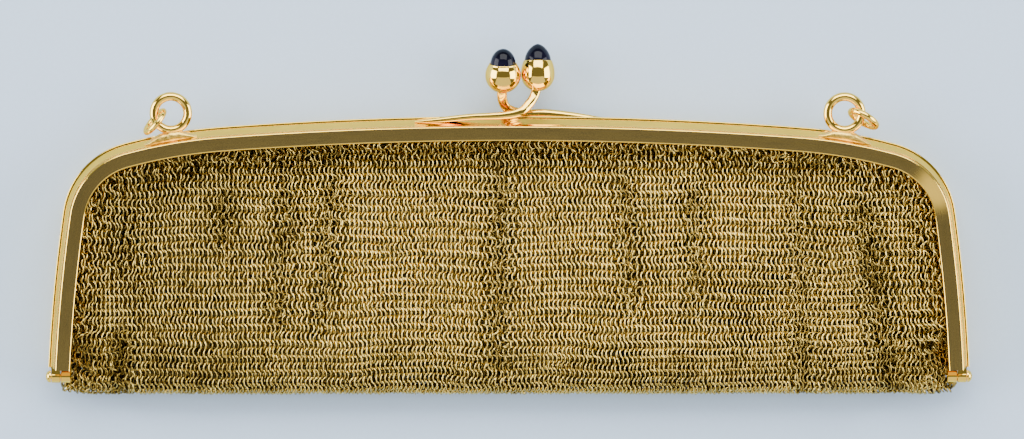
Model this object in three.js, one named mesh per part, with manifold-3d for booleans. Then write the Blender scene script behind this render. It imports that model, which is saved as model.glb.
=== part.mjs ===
// A gold ring-mail purse, closed and lying on its back: a hinged frame of two arched halves, a clasp of
// two crossing arms that carry stone-topped balls, two chain loops with one link each, and the mail bag.
// Millimetres. X runs along the frame, Y from the foot of the bag to the clasp, Z up from the surface.

import * as THREE from "three";
import { mergeVertices } from "three/addons/utils/BufferGeometryUtils.js";
import Module from "manifold-3d";

const wasm = await Module();
wasm.setup();

// Frame
const FRAME_THICKNESS = 11;
const MIDDLE = FRAME_THICKNESS / 2;
const SEAM = 0.3;
const SHEET = 0.9;
const FACE_WIDTH = 2.72;
const WALL_FLARE = 1.1;
const EDGE_BEVEL = 0.22;
const RIM_REACH = 0.4;
const RIM_HEIGHT = 0.7;
const ARCH_TOP = 49.86;

// The right half of the face's outer edge, from the middle of the top to the end of the leg.
const ARCH = [
  { stretch: "top", radius: 713, sweep: 4.28, steps: 8 },
  { stretch: "shoulder", radius: 93, sweep: 11.05, steps: 4 },
  { stretch: "corner", radius: 13.7, sweep: 66.4, steps: 8 },
  { stretch: "leg", radius: 306, sweep: 5.4, steps: 6 },
];

// Hinges at the ends of the legs
const HINGE_Y = 3.25;
const KNUCKLE_RADIUS = 1.15;
const KNUCKLE_SIDES = 14;
const INNER_KNUCKLE = { from: 80.9, to: 82.65 };
const OUTER_KNUCKLE = { from: 82.95, to: 84.5 };
const PIN_RADIUS = 0.45;
const PIN_GAP = 0.3;
const PIN_HEAD_RADIUS = 1.1;
const PIN_HEAD_HEIGHT = 0.9;
const PIN_DOME = [
  { radiusShare: 1, heightShare: 0 },
  { radiusShare: 1, heightShare: 0.3 },
  { radiusShare: 0.72, heightShare: 0.75 },
  { radiusShare: 0, heightShare: 1 },
];
const END_PLATE = 0.8;
const WEB = { low: 0.25, high: 0.95, root: 0.2 };

// Chain loops, soldered upright on the front half, and their links
const LOOPS = [
  { x: -62.35, y: 52.05, z: 7.6 },
  { x: 61.55, y: 52.05, z: 7.6 },
];
const LOOP_RADIUS = 3.09;
const LOOP_WIRE = 0.81;
const LOOP_SADDLE = { foot: 9.6, crown: 4.6, low: 0.25, high: 1.95, width: 2.2 };
const LINK_SIDES = 16;
const WIRE_SIDES = 6;
const LINKS = [
  { name: "link_left", x: -65.27, y: 50.5, z: 7.6, heading: 230, roll: 6, radius: 2.45, wire: 0.5 },
  { name: "link_right", x: 65.05, y: 51.07, z: 7.3, heading: -31.7, roll: 17, radius: 2.5, wire: 0.55 },
];

// Clasp: each half has a springy arm that crosses to the other side and carries a ball
const BALL_LOWER_TURNS = [-68, -45, -22, 0];
const BALL_UPPER_SHARES = [0.35, 0.7];
const STONE_RISE_SHARES = [0.3, 0.55, 0.75, 0.9];
const ARM_SIDES = 8;
const ARM_STEPS = 20;
const LATHE_SIDES = 16;
const STONE_GAP = 0.25;
const FRONT_BALL = { x: 5.13, y: 58.86, z: 4.9, lean: -5, radius: 3.05, collar: 2.66, collarHeight: 2.52 };
const BACK_BALL = { x: -1.3, y: 58.67, z: 6.3, lean: 5, radius: 3.2, collar: 2.72, collarHeight: 1.8 };
const FRONT_STONE = { radius: 2.5, height: 3.12, point: 0.62 };
const BACK_STONE = { radius: 2.43, height: 2.95, point: 0.5 };
const FRONT_ARM = {
  radius: 0.58,
  route: [
    { x: -15.0, y: 50.4, z: 6.9 },
    { x: -12.8, y: 50.75, z: 7.0 },
    { x: -7.3, y: 51.15, z: 7.3 },
    { x: -1.56, y: 51.55, z: 7.4 },
    { x: 1.86, y: 52.25, z: 7.1 },
    { x: 3.5, y: 53.7, z: 6.2 },
    { x: 4.5, y: 55.2, z: 5.3 },
    { x: 5.1, y: 57.2, z: 4.95 },
  ],
};
const BACK_ARM = {
  radius: 0.74,
  route: [
    { x: 17.0, y: 50.0, z: 2.8 },
    { x: 12.0, y: 50.7, z: 2.9 },
    { x: 6.6, y: 51.5, z: 3.0 },
    { x: 2.6, y: 51.7, z: 3.3 },
    { x: -0.4, y: 52.7, z: 4.0 },
    { x: -1.35, y: 54.3, z: 4.8 },
    { x: -1.45, y: 55.9, z: 5.5 },
    { x: -1.3, y: 57.4, z: 6.0 },
  ],
};

// Mail bag: a wall as thick as the ring mail, hung from both lips and folded over at its foot
const BAG_WALL = 1.3;
const BAG_TUCK = 1.0;
const BAG_HALF_WIDTH = 82;
const BAG_WAIST = 80.55;
const BAG_WAIST_SPAN = { low: 1.8, high: 6.1 };
const BAG_FOOT = 2.0;
const BAG_SIDE_PINCH = { reach: 6, below: 12, gap: 0.35, drop: 2.2 };
const BAG_FOOT_TAPER = { reach: 10, drop: 1.6 };
const BAG_COLUMNS = 56;
const BAG_BACK_ROWS = [48.6, 45.5, 42, 38.5, 34, 22, 10, 4.5];
const BAG_FRONT_ROWS = [4.5, 8, 15, 23, 31, 36.5, 40, 42.5, 44.5, 46.5, 48.6];
const BAG_FOOT_TURN = [22, 55, 90, 125, 158];
const GROOVE_SPAN = { full: 58, none: 72 };

// Height of each wall's middle against the distance in from its top edge, which lies under the lip.
const FRONT_BY_TOP = [
  { inset: 0.8, height: 9.15 },
  { inset: 3.8, height: 7.3 },
  { inset: 9.5, height: 8.5 },
];
const FRONT_BY_LEG = [
  { inset: 0.8, height: 9.15 },
  { inset: 5, height: 8.5 },
];
const BACK_BY_LIP = [
  { inset: 5.5, height: 1.85 },
  { inset: 9.5, height: 0.95 },
];

// Folds of the front wall: a crease runs from (topX, topY) down to (footX, footY). Depth is up.
const FOLDS = [
  { topX: -71.0, topY: 37.0, footX: -70.0, footY: 20.0, halfWidth: 6.5, depth: -0.45 },
  { topX: -71.6, topY: 13.0, footX: -71.6, footY: 0.0, halfWidth: 3.2, depth: -1.0 },
  { topX: -57.0, topY: 14.0, footX: -54.5, footY: 0.0, halfWidth: 4.0, depth: 0.45 },
  { topX: -52.4, topY: 40.0, footX: -52.9, footY: 26.0, halfWidth: 3.0, depth: -0.45 },
  { topX: -40.4, topY: 42.5, footX: -42.8, footY: 10.0, halfWidth: 3.0, depth: -0.5 },
  { topX: -32.0, topY: 42.5, footX: -34.4, footY: 13.0, halfWidth: 3.2, depth: -0.65 },
  { topX: -1.4, topY: 42.5, footX: -2.3, footY: 3.0, halfWidth: 3.4, depth: -0.85 },
  { topX: 20.8, topY: 42.5, footX: 22.6, footY: 15.0, halfWidth: 3.0, depth: -0.65 },
  { topX: 33.7, topY: 40.5, footX: 35.1, footY: 15.0, halfWidth: 3.0, depth: -0.5 },
  { topX: 52.6, topY: 40.5, footX: 54.5, footY: 0.0, halfWidth: 3.2, depth: -0.6 },
  { topX: 59.0, topY: 31.0, footX: 59.0, footY: 0.0, halfWidth: 4.2, depth: 0.55 },
  { topX: 64.6, topY: 37.0, footX: 70.0, footY: 2.0, halfWidth: 4.2, depth: -1.15 },
];
const FOLD_FADE = 5;

const MERGE_DISTANCE = 1e-4;
const EDGE_SAMPLES = 400;
const HALVINGS = 40;

const POLISHED_GOLD = { color: 0xd6ab52, roughness: 0.18, metalness: 1 };
const RING_MAIL_GOLD = { color: 0xa98a4b, roughness: 0.45, metalness: 1 };
const NAVY_STONE = { color: 0x10122b, roughness: 0.06, metalness: 0 };

const { degToRad, smoothstep, lerp } = THREE.MathUtils;

// Booleans work on closed meshes with shared vertices, and collapsed triangles are dropped.
function solidOf(geometry) {
  const bare = new THREE.BufferGeometry();
  bare.setAttribute("position", geometry.getAttribute("position"));
  bare.setIndex(geometry.getIndex());
  const merged = mergeVertices(bare, MERGE_DISTANCE);
  const index = merged.getIndex().array;
  const triangles = [];
  for (let i = 0; i < index.length; i += 3) {
    const [a, b, c] = index.slice(i, i + 3);
    if (a !== b && b !== c && c !== a) {
      triangles.push(a, b, c);
    }
  }
  const mesh = new wasm.Mesh({
    numProp: 3,
    vertProperties: new Float32Array(merged.getAttribute("position").array),
    triVerts: new Uint32Array(triangles),
  });
  return new wasm.Manifold(mesh);
}

function fused(geometries) {
  return geometries.map(solidOf).reduce((whole, piece) => whole.add(piece));
}

function geometryOf(solid) {
  const mesh = solid.getMesh();
  const geometry = new THREE.BufferGeometry();
  geometry.setAttribute("position", new THREE.BufferAttribute(mesh.vertProperties, 3));
  geometry.setIndex(new THREE.BufferAttribute(mesh.triVerts, 1));
  geometry.computeVertexNormals();
  return geometry;
}

// A mirror image, with its triangles turned so that they still face out.
function mirrored(geometry, axis, plane = 0) {
  const copy = geometry.index ? geometry.toNonIndexed() : geometry.clone();
  const position = copy.getAttribute("position");
  const point = new THREE.Vector3();
  const flipped = [];
  for (let i = 0; i < position.count; i += 3) {
    for (const corner of [i, i + 2, i + 1]) {
      point.fromBufferAttribute(position, corner);
      point[axis] = 2 * plane - point[axis];
      flipped.push(point.x, point.y, point.z);
    }
  }
  const image = new THREE.BufferGeometry();
  image.setAttribute("position", new THREE.Float32BufferAttribute(flipped, 3));
  return image;
}

function pieceOf(name, geometry, finish) {
  const piece = new THREE.Mesh(geometry, new THREE.MeshStandardMaterial(finish));
  piece.name = name;
  return piece;
}

// Tangent arcs of the arch, each with its centre and the headings it turns between (0 runs along +X).
function chainedArcs() {
  const start = new THREE.Vector2(0, ARCH_TOP);
  let heading = 0;
  return ARCH.map(({ radius, sweep, steps }) => {
    const from = heading;
    heading += degToRad(sweep);
    const centre = new THREE.Vector2(start.x - radius * Math.sin(from), start.y - radius * Math.cos(from));
    start.set(centre.x + radius * Math.sin(heading), centre.y + radius * Math.cos(heading));
    return { centre, radius, steps, from, to: heading };
  });
}

const ARCS = chainedArcs();
const HALF_STEPS = ARCS.reduce((sum, arc) => sum + arc.steps, 0);

// The point, outward normal and running direction of the arch at a share from -1 (left) to 1 (right).
function archStation(share) {
  const side = share < 0 ? -1 : 1;
  let steps = Math.min(Math.abs(share), 1) * HALF_STEPS;
  let arc = ARCS[0];
  for (arc of ARCS) {
    if (steps <= arc.steps) {
      break;
    }
    steps -= arc.steps;
  }
  const heading = lerp(arc.from, arc.to, Math.min(steps / arc.steps, 1));
  const out = new THREE.Vector3(side * Math.sin(heading), Math.cos(heading), 0);
  const along = new THREE.Vector3(Math.cos(heading), -side * Math.sin(heading), 0);
  const x = side * (arc.centre.x + arc.radius * Math.sin(heading));
  const y = arc.centre.y + arc.radius * Math.cos(heading);
  return { point: new THREE.Vector3(x, y, 0), out, along };
}

// The arch as a path whose stations are shared out by the steps in the table, close at the corners.
class ArchPath extends THREE.Curve {
  getUtoTmapping(u) {
    return u;
  }

  getPoint(t, target = new THREE.Vector3()) {
    return target.copy(archStation(2 * t - 1).point);
  }

  getTangent(t, target = new THREE.Vector3()) {
    return target.copy(archStation(2 * t - 1).along);
  }
}

// Sections are written as distance out from the face's edge and height above the seam's middle.
const FACE_HEIGHT = MIDDLE;
const WALL_SLOPE = WALL_FLARE / (FACE_HEIGHT - SEAM / 2);

function wallOut(height) {
  return WALL_SLOPE * (FACE_HEIGHT - height);
}

function halfSection(withRim) {
  const foot = SEAM / 2;
  const rim = [
    [wallOut(foot + RIM_HEIGHT), foot + RIM_HEIGHT],
    [WALL_FLARE + RIM_REACH, foot + RIM_HEIGHT],
    [WALL_FLARE + RIM_REACH, foot],
  ];
  return [
    [-FACE_WIDTH, FACE_HEIGHT - EDGE_BEVEL],
    [-FACE_WIDTH + EDGE_BEVEL, FACE_HEIGHT],
    [-EDGE_BEVEL, FACE_HEIGHT],
    [wallOut(FACE_HEIGHT - EDGE_BEVEL), FACE_HEIGHT - EDGE_BEVEL],
    ...(withRim ? rim : [[WALL_FLARE, foot]]),
    [WALL_FLARE - SHEET, foot],
    [wallOut(FACE_HEIGHT - SHEET) - SHEET, FACE_HEIGHT - SHEET],
    [-FACE_WIDTH, FACE_HEIGHT - SHEET],
  ];
}

// The path's frame lays a section's first axis along -Z and its second outward.
function archBand(withRim) {
  const corners = halfSection(withRim).map(([out, height]) => new THREE.Vector2(-(MIDDLE + height), out));
  return new THREE.ExtrudeGeometry(new THREE.Shape(corners), {
    steps: 2 * HALF_STEPS,
    bevelEnabled: false,
    extrudePath: new ArchPath(),
  });
}

// A plate that closes the hollow end of the right leg.
function endPlate() {
  const foot = SEAM / 2;
  const crown = FACE_HEIGHT - SHEET / 2;
  const corners = [
    new THREE.Vector2(-FACE_WIDTH, foot),
    new THREE.Vector2(WALL_FLARE - SHEET / 2, foot),
    new THREE.Vector2(wallOut(crown) - SHEET / 2, crown),
    new THREE.Vector2(-FACE_WIDTH, crown),
  ];
  const plate = new THREE.ExtrudeGeometry(new THREE.Shape(corners), {
    depth: END_PLATE,
    bevelEnabled: false,
  });
  const { point, out, along } = archStation(1);
  const up = new THREE.Vector3(0, 0, 1);
  const place = new THREE.Matrix4().makeBasis(out, up, along);
  place.setPosition(point.addScaledVector(along, -END_PLATE).setZ(MIDDLE));
  return plate.applyMatrix4(place);
}

function rodAlongX(radius, from, to) {
  const rod = new THREE.CylinderGeometry(radius, radius, to - from, KNUCKLE_SIDES);
  rod.rotateZ(Math.PI / 2);
  return rod.translate((from + to) / 2, HINGE_Y, MIDDLE);
}

// A hinge knuckle with the web that carries it on the right leg's end plate.
function knuckle({ from, to }) {
  const legEnd = archStation(1).point.y;
  const webFoot = HINGE_Y + WEB.low;
  const webTop = legEnd + WEB.root + END_PLATE / 2;
  const web = new THREE.BoxGeometry(to - from, webTop - webFoot, WEB.high - WEB.low);
  web.translate((from + to) / 2, (webFoot + webTop) / 2, MIDDLE + (WEB.low + WEB.high) / 2);
  return [rodAlongX(KNUCKLE_RADIUS, from, to), web];
}

// The bores through a half's two knuckles, cut past their ends.
function hingeBores({ from, to }) {
  const bore = rodAlongX(PIN_RADIUS + PIN_GAP, from - SHEET, to + SHEET);
  return fused([bore, mirrored(bore, "x")]);
}

function chainLoop({ x, y, z }) {
  const ring = new THREE.TorusGeometry(LOOP_RADIUS, LOOP_WIRE, WIRE_SIDES, LINK_SIDES);
  return [ring.translate(x, y, z), loopSaddle(x, z)];
}

// The tapered saddle that the loop is soldered to, sunk into the wall under it.
function loopSaddle(x, z) {
  const { foot, crown, low, high, width } = LOOP_SADDLE;
  const corners = [
    new THREE.Vector2(-foot / 2, low),
    new THREE.Vector2(foot / 2, low),
    new THREE.Vector2(crown / 2, high),
    new THREE.Vector2(-crown / 2, high),
  ];
  const saddle = new THREE.ExtrudeGeometry(new THREE.Shape(corners), { depth: width, bevelEnabled: false });
  const { point, out } = stationAtX(Math.abs(x));
  saddle.rotateZ(-Math.atan2(out.x, out.y));
  saddle.translate(point.x, point.y, z - width / 2);
  return x < 0 ? mirrored(saddle, "x") : saddle;
}

// The right half's station at a given X, found by halving the interval.
function stationAtX(x) {
  let low = 0;
  let high = 1;
  for (let i = 0; i < HALVINGS; i += 1) {
    const middle = (low + high) / 2;
    if (archStation(middle).point.x < x) {
      low = middle;
    } else {
      high = middle;
    }
  }
  return archStation(low);
}

function roundShape(radius, sides) {
  const corners = [];
  for (let i = 0; i < sides; i += 1) {
    const turn = (2 * Math.PI * i) / sides;
    corners.push(new THREE.Vector2(radius * Math.cos(turn), radius * Math.sin(turn)));
  }
  return new THREE.Shape(corners);
}

function claspArm({ radius, route }) {
  const path = new THREE.CatmullRomCurve3(route.map(({ x, y, z }) => new THREE.Vector3(x, y, z)));
  return new THREE.ExtrudeGeometry(roundShape(radius, ARM_SIDES), {
    steps: ARM_STEPS,
    bevelEnabled: false,
    extrudePath: path,
  });
}

// Lathes turn about Y, which leans towards +Z by the ball's lean.
function turned(profile, ball) {
  const lathe = new THREE.LatheGeometry(profile.map(([r, y]) => new THREE.Vector2(r, y)), LATHE_SIDES);
  lathe.rotateX(degToRad(ball.lean));
  return lathe.translate(ball.x, ball.y, ball.z);
}

// A ball whose upper half draws in to the collar that holds the stone.
function claspBall(ball) {
  const { radius, collar, collarHeight } = ball;
  const profile = [[0, -radius]];
  for (const angle of BALL_LOWER_TURNS) {
    const turn = degToRad(angle);
    profile.push([radius * Math.cos(turn), radius * Math.sin(turn)]);
  }
  const reach = collarHeight / Math.sqrt(1 - (collar / radius) ** 2);
  for (const share of BALL_UPPER_SHARES) {
    const y = share * collarHeight;
    profile.push([radius * Math.sqrt(1 - (y / reach) ** 2), y]);
  }
  profile.push([collar, collarHeight], [0, collarHeight]);
  return turned(profile, ball);
}

// A sugar-loaf stone: its sides curve in to a rounded point.
function claspStone(name, ball, { radius, height, point }) {
  const base = ball.collarHeight + STONE_GAP;
  const profile = [[0, base], [radius, base]];
  for (const share of STONE_RISE_SHARES) {
    profile.push([radius * (1 - share ** 2) ** point, base + share * height]);
  }
  profile.push([0, base + height]);
  return pieceOf(name, geometryOf(solidOf(turned(profile, ball))), NAVY_STONE);
}

function frameHalf(name, { withRim, knuckleSpan, extras }) {
  const flip = (geometry) => (withRim ? mirrored(geometry, "z", MIDDLE) : geometry);
  const rightHinge = [endPlate(), ...knuckle(knuckleSpan)];
  const leftHinge = rightHinge.map((geometry) => mirrored(geometry, "x"));
  const band = [archBand(withRim), ...rightHinge, ...leftHinge].map(flip);
  const whole = fused([...band, ...extras]).subtract(hingeBores(knuckleSpan));
  return pieceOf(name, geometryOf(whole), POLISHED_GOLD);
}

function hingePin(name, side) {
  const headFoot = OUTER_KNUCKLE.to + PIN_GAP;
  const profile = [
    new THREE.Vector2(0, INNER_KNUCKLE.from),
    new THREE.Vector2(PIN_RADIUS, INNER_KNUCKLE.from),
    new THREE.Vector2(PIN_RADIUS, headFoot),
  ];
  for (const { radiusShare, heightShare } of PIN_DOME) {
    profile.push(new THREE.Vector2(radiusShare * PIN_HEAD_RADIUS, headFoot + heightShare * PIN_HEAD_HEIGHT));
  }
  const pin = new THREE.LatheGeometry(profile, KNUCKLE_SIDES);
  pin.rotateZ(-Math.PI / 2);
  pin.translate(0, HINGE_Y, MIDDLE);
  const placed = side < 0 ? mirrored(pin, "x") : pin;
  return pieceOf(name, geometryOf(solidOf(placed)), POLISHED_GOLD);
}

// A link stands nearly on edge: its plane holds its heading and a line rolled a little from upright.
function chainLink({ name, x, y, z, heading, roll, radius, wire }) {
  const ring = new THREE.TorusGeometry(radius, wire, WIRE_SIDES, LINK_SIDES);
  const link = pieceOf(name, geometryOf(solidOf(ring)), POLISHED_GOLD);
  const along = new THREE.Vector3(Math.cos(degToRad(heading)), Math.sin(degToRad(heading)), 0);
  const up = new THREE.Vector3(0, 0, 1).applyAxisAngle(along, degToRad(roll));
  const across = new THREE.Vector3().crossVectors(along, up);
  link.setRotationFromMatrix(new THREE.Matrix4().makeBasis(along, up, across));
  link.position.set(x, y, z);
  return link;
}

// Distance in from the face's edge, to the nearest station of the arch.
const EDGE_STATIONS = Array.from(
  { length: EDGE_SAMPLES + 1 },
  (_, i) => archStation((2 * i) / EDGE_SAMPLES - 1).point,
);

function edgeInset(x, y) {
  const squares = EDGE_STATIONS.map((point) => (point.x - x) ** 2 + (point.y - y) ** 2);
  return Math.sqrt(Math.min(...squares));
}

function heightAt(rows, inset) {
  if (inset <= rows[0].inset) {
    return rows[0].height;
  }
  for (let i = 1; i < rows.length; i += 1) {
    if (inset < rows[i].inset) {
      return lerp(rows[i - 1].height, rows[i].height, smoothstep(inset, rows[i - 1].inset, rows[i].inset));
    }
  }
  return rows[rows.length - 1].height;
}

function foldDepth(x, y) {
  return FOLDS.reduce((sum, { topX, topY, footX, footY, halfWidth, depth }) => {
    const share = (y - footY) / (topY - footY);
    const off = Math.min(Math.abs(x - lerp(footX, topX, share)) / halfWidth, 1);
    const lower = footY > 0 ? smoothstep(y, footY - FOLD_FADE, footY + FOLD_FADE) : 1;
    const upper = 1 - smoothstep(y, topY - FOLD_FADE, topY + 1);
    return sum + (depth * lower * upper * (1 + Math.cos(Math.PI * off))) / 2;
  }, 0);
}

// Heights of the middle of the front and back walls over a point of the surface.
function bagHeights(x, y) {
  const inset = edgeInset(x, y) - (FACE_WIDTH - BAG_TUCK);
  const underTop = 1 - smoothstep(Math.abs(x), GROOVE_SPAN.full, GROOVE_SPAN.none);
  const taper = BAG_FOOT_TAPER.drop * (1 - smoothstep(y, BAG_FOOT, BAG_FOOT_TAPER.reach));
  const hung = lerp(heightAt(FRONT_BY_LEG, inset), heightAt(FRONT_BY_TOP, inset), underTop);
  const front = hung + foldDepth(x, y) - taper;
  const back = heightAt(BACK_BY_LIP, inset);
  const low = 1 - smoothstep(y, BAG_SIDE_PINCH.below / 2, BAG_SIDE_PINCH.below);
  const side = 1 - smoothstep(BAG_HALF_WIDTH - Math.abs(x), 1, BAG_SIDE_PINCH.reach);
  const middle = (front + back) / 2 - BAG_SIDE_PINCH.drop * low * side;
  const pinched = (BAG_WALL + BAG_SIDE_PINCH.gap) / 2;
  const half = lerp((front - back) / 2, pinched, low * side);
  return { front: middle + half, back: middle - half };
}

// The wall's middle line over one X: down the back, round the foot and up the front.
function bagLine(x) {
  const back = BAG_BACK_ROWS.map((y) => new THREE.Vector2(y, bagHeights(x, y).back));
  const front = BAG_FRONT_ROWS.map((y) => new THREE.Vector2(y, bagHeights(x, y).front));
  const foot = bagHeights(x, BAG_FOOT);
  const turn = BAG_FOOT_TURN.map((angle) => {
    const y = BAG_FOOT + BAG_WALL / 2 - BAG_FOOT * Math.sin(degToRad(angle));
    const z = (foot.front + foot.back) / 2 - ((foot.front - foot.back) / 2) * Math.cos(degToRad(angle));
    return new THREE.Vector2(y, z);
  });
  return [...back, ...turn, ...front];
}

// A closed sheet through the lines of all columns, half a wall to each side of them.
function bagSheet() {
  const lines = [];
  for (let column = 0; column <= BAG_COLUMNS; column += 1) {
    const x = lerp(-BAG_HALF_WIDTH - 1, BAG_HALF_WIDTH + 1, column / BAG_COLUMNS);
    lines.push({ x, line: bagLine(x) });
  }
  const rows = lines[0].line.length;
  const positions = [];
  for (const skin of [1, -1]) {
    for (const { x, line } of lines) {
      line.forEach((point, row) => {
        const along = line[Math.min(row + 1, rows - 1)].clone().sub(line[Math.max(row - 1, 0)]).normalize();
        const offset = (skin * BAG_WALL) / 2;
        positions.push(x, point.x + offset * along.y, point.y - offset * along.x);
      });
    }
  }
  return sheetGeometry(positions, BAG_COLUMNS + 1, rows);
}

// Triangles of two like grids of points, the first facing out, joined round their rims.
function sheetGeometry(positions, columns, rows) {
  const inner = columns * rows;
  const at = (column, row) => column * rows + row;
  const triangles = [];
  const quad = (a, b, c, d) => triangles.push(a, b, c, a, c, d);
  for (let column = 0; column < columns - 1; column += 1) {
    for (let row = 0; row < rows - 1; row += 1) {
      const corners = [at(column, row), at(column, row + 1), at(column + 1, row + 1), at(column + 1, row)];
      quad(...corners);
      quad(...corners.reverse().map((corner) => corner + inner));
    }
  }
  const rim = [];
  for (let column = 0; column < columns - 1; column += 1) {
    rim.push(at(column, 0));
  }
  for (let row = 0; row < rows - 1; row += 1) {
    rim.push(at(columns - 1, row));
  }
  for (let column = columns - 1; column > 0; column -= 1) {
    rim.push(at(column, rows - 1));
  }
  for (let row = rows - 1; row > 0; row -= 1) {
    rim.push(at(0, row));
  }
  rim.forEach((corner, i) => {
    const next = rim[(i + 1) % rim.length];
    quad(corner, next, next + inner, corner + inner);
  });
  const geometry = new THREE.BufferGeometry();
  geometry.setAttribute("position", new THREE.Float32BufferAttribute(positions, 3));
  geometry.setIndex(triangles);
  return geometry;
}

// The bag's outline: tucked under the lip of the arch, waisted between the hinges, full at the foot.
function bagOutline() {
  const inset = FACE_WIDTH - BAG_TUCK;
  const right = [
    new THREE.Vector2(BAG_HALF_WIDTH, -BAG_WALL),
    new THREE.Vector2(BAG_HALF_WIDTH, BAG_WAIST_SPAN.low),
    new THREE.Vector2(BAG_WAIST, BAG_WAIST_SPAN.low),
    new THREE.Vector2(BAG_WAIST, BAG_WAIST_SPAN.high),
  ];
  const arch = [];
  for (let step = -HALF_STEPS; step <= HALF_STEPS; step += 1) {
    const { point, out } = archStation(step / HALF_STEPS);
    point.addScaledVector(out, -inset);
    if (point.y > BAG_WAIST_SPAN.high) {
      arch.push(new THREE.Vector2(point.x, point.y));
    }
  }
  const end = arch[arch.length - 1];
  const legs = [new THREE.Vector2(end.x, BAG_WAIST_SPAN.high), ...arch.reverse()];
  legs.push(new THREE.Vector2(-end.x, BAG_WAIST_SPAN.high));
  const left = right.map(({ x, y }) => new THREE.Vector2(-x, y)).reverse();
  return new THREE.Shape([...right, ...legs, ...left]);
}

function mailBag() {
  const outline = new THREE.ExtrudeGeometry(bagOutline(), { depth: FRAME_THICKNESS, bevelEnabled: false });
  const bag = solidOf(bagSheet()).intersect(solidOf(outline));
  return pieceOf("mesh_bag", geometryOf(bag), RING_MAIL_GOLD);
}

const frontHalf = {
  withRim: false,
  knuckleSpan: OUTER_KNUCKLE,
  extras: [...LOOPS.flatMap(chainLoop), claspArm(FRONT_ARM), claspBall(FRONT_BALL)],
};
const backHalf = {
  withRim: true,
  knuckleSpan: INNER_KNUCKLE,
  extras: [claspArm(BACK_ARM), claspBall(BACK_BALL)],
};

const purse = new THREE.Group();
purse.add(
  frameHalf("frame_front", frontHalf),
  frameHalf("frame_back", backHalf),
  hingePin("hinge_pin_left", -1),
  hingePin("hinge_pin_right", 1),
  ...LINKS.map(chainLink),
  claspStone("stone_front", FRONT_BALL, FRONT_STONE),
  claspStone("stone_back", BACK_BALL, BACK_STONE),
  mailBag(),
);

// The origin is under the middle of the purse, on the surface it lies on.
const extent = new THREE.Box3().setFromObject(purse, true);
const centre = extent.getCenter(new THREE.Vector3());
purse.position.set(-centre.x, -centre.y, -extent.min.z);

const model = new THREE.Group();
model.add(purse);

export default model;
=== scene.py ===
"""A gold ring-mail purse, closed and lying on its back, laid out as a Blender add-on.

The tables and the geometry are in millimetres, with X along the frame, Y up from the foot of the
bag and Z up from the floor. to_metres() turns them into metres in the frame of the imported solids.
"""

import math
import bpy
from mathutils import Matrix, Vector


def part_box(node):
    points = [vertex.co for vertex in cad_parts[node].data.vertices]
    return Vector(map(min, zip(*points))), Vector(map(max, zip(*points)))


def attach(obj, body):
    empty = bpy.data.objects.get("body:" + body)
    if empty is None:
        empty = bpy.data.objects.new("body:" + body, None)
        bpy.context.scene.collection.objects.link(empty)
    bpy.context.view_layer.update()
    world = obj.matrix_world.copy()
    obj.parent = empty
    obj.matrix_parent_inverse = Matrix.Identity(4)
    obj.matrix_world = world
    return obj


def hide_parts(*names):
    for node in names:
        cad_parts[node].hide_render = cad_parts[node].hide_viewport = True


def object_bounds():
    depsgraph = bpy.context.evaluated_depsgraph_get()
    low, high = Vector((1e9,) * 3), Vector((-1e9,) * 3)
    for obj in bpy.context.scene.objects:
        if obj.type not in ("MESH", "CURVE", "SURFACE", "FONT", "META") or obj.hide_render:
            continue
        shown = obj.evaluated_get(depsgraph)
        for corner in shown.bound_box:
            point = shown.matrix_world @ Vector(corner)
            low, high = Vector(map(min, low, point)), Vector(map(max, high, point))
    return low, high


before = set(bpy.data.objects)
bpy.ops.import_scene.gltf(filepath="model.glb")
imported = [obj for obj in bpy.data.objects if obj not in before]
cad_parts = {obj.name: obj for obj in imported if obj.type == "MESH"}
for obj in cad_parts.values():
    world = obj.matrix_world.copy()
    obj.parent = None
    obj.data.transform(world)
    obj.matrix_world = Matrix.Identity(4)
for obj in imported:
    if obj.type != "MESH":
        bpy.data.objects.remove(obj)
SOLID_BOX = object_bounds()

from types import SimpleNamespace

import bpy
import numpy as np
from mathutils import Matrix, Vector

bl_info = {
    "name": "Ring-mail purse",
    "version": (1, 0, 0),
    "blender": (4, 5, 0),
    "location": "3D View > Sidebar > Purse",
    "description": "Builds a gold ring-mail purse with a hinged frame and a stone-set clasp",
    "category": "Object",
}

MM = 0.001
ACROSS = np.array([1.0, 0, 0])
AHEAD = np.array([0, 1.0, 0])
UP = np.array([0, 0, 1.0])
BAG_FOOT_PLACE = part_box("mesh_bag")[0].y
FRAME_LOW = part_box("frame_back")[0].z
FRAME_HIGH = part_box("frame_front")[1].z

# The right half of the face's outer edge, from the middle of the top to the end of the leg.
# Columns of each arc: radius, sweep in degrees.
ARCH_TOP = 49.86
ARCH = (
    (713, 4.28),
    (93, 11.05),
    (13.7, 66.4),
    (306, 5.4),
)
ARCH_SPACING = 1.6
ARC_STEPS = 14
# Where a highlight is painted on the face's corner, in a lighter and matt patch, and the power by which the
# patch ends.
CORNER_HIGHLIGHT = {"x": 78.9, "y": 38.8, "reach": 4.4, "power": 4}

# The wall drops nearly upright from the face and flares towards the seam by this power of its depth.
WALL_FLARE_POWER = 1.8
WALL_SHARES = (0.2, 0.4, 0.6, 0.8)
WALL_ROUND = 2.0
INSIDE_ROUND = 0.1
SEAM_ROUND = 0.14
RIM_ROUND = 0.16
RIM_CREASE = 0.08
CORNER_STEPS = 5

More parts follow.
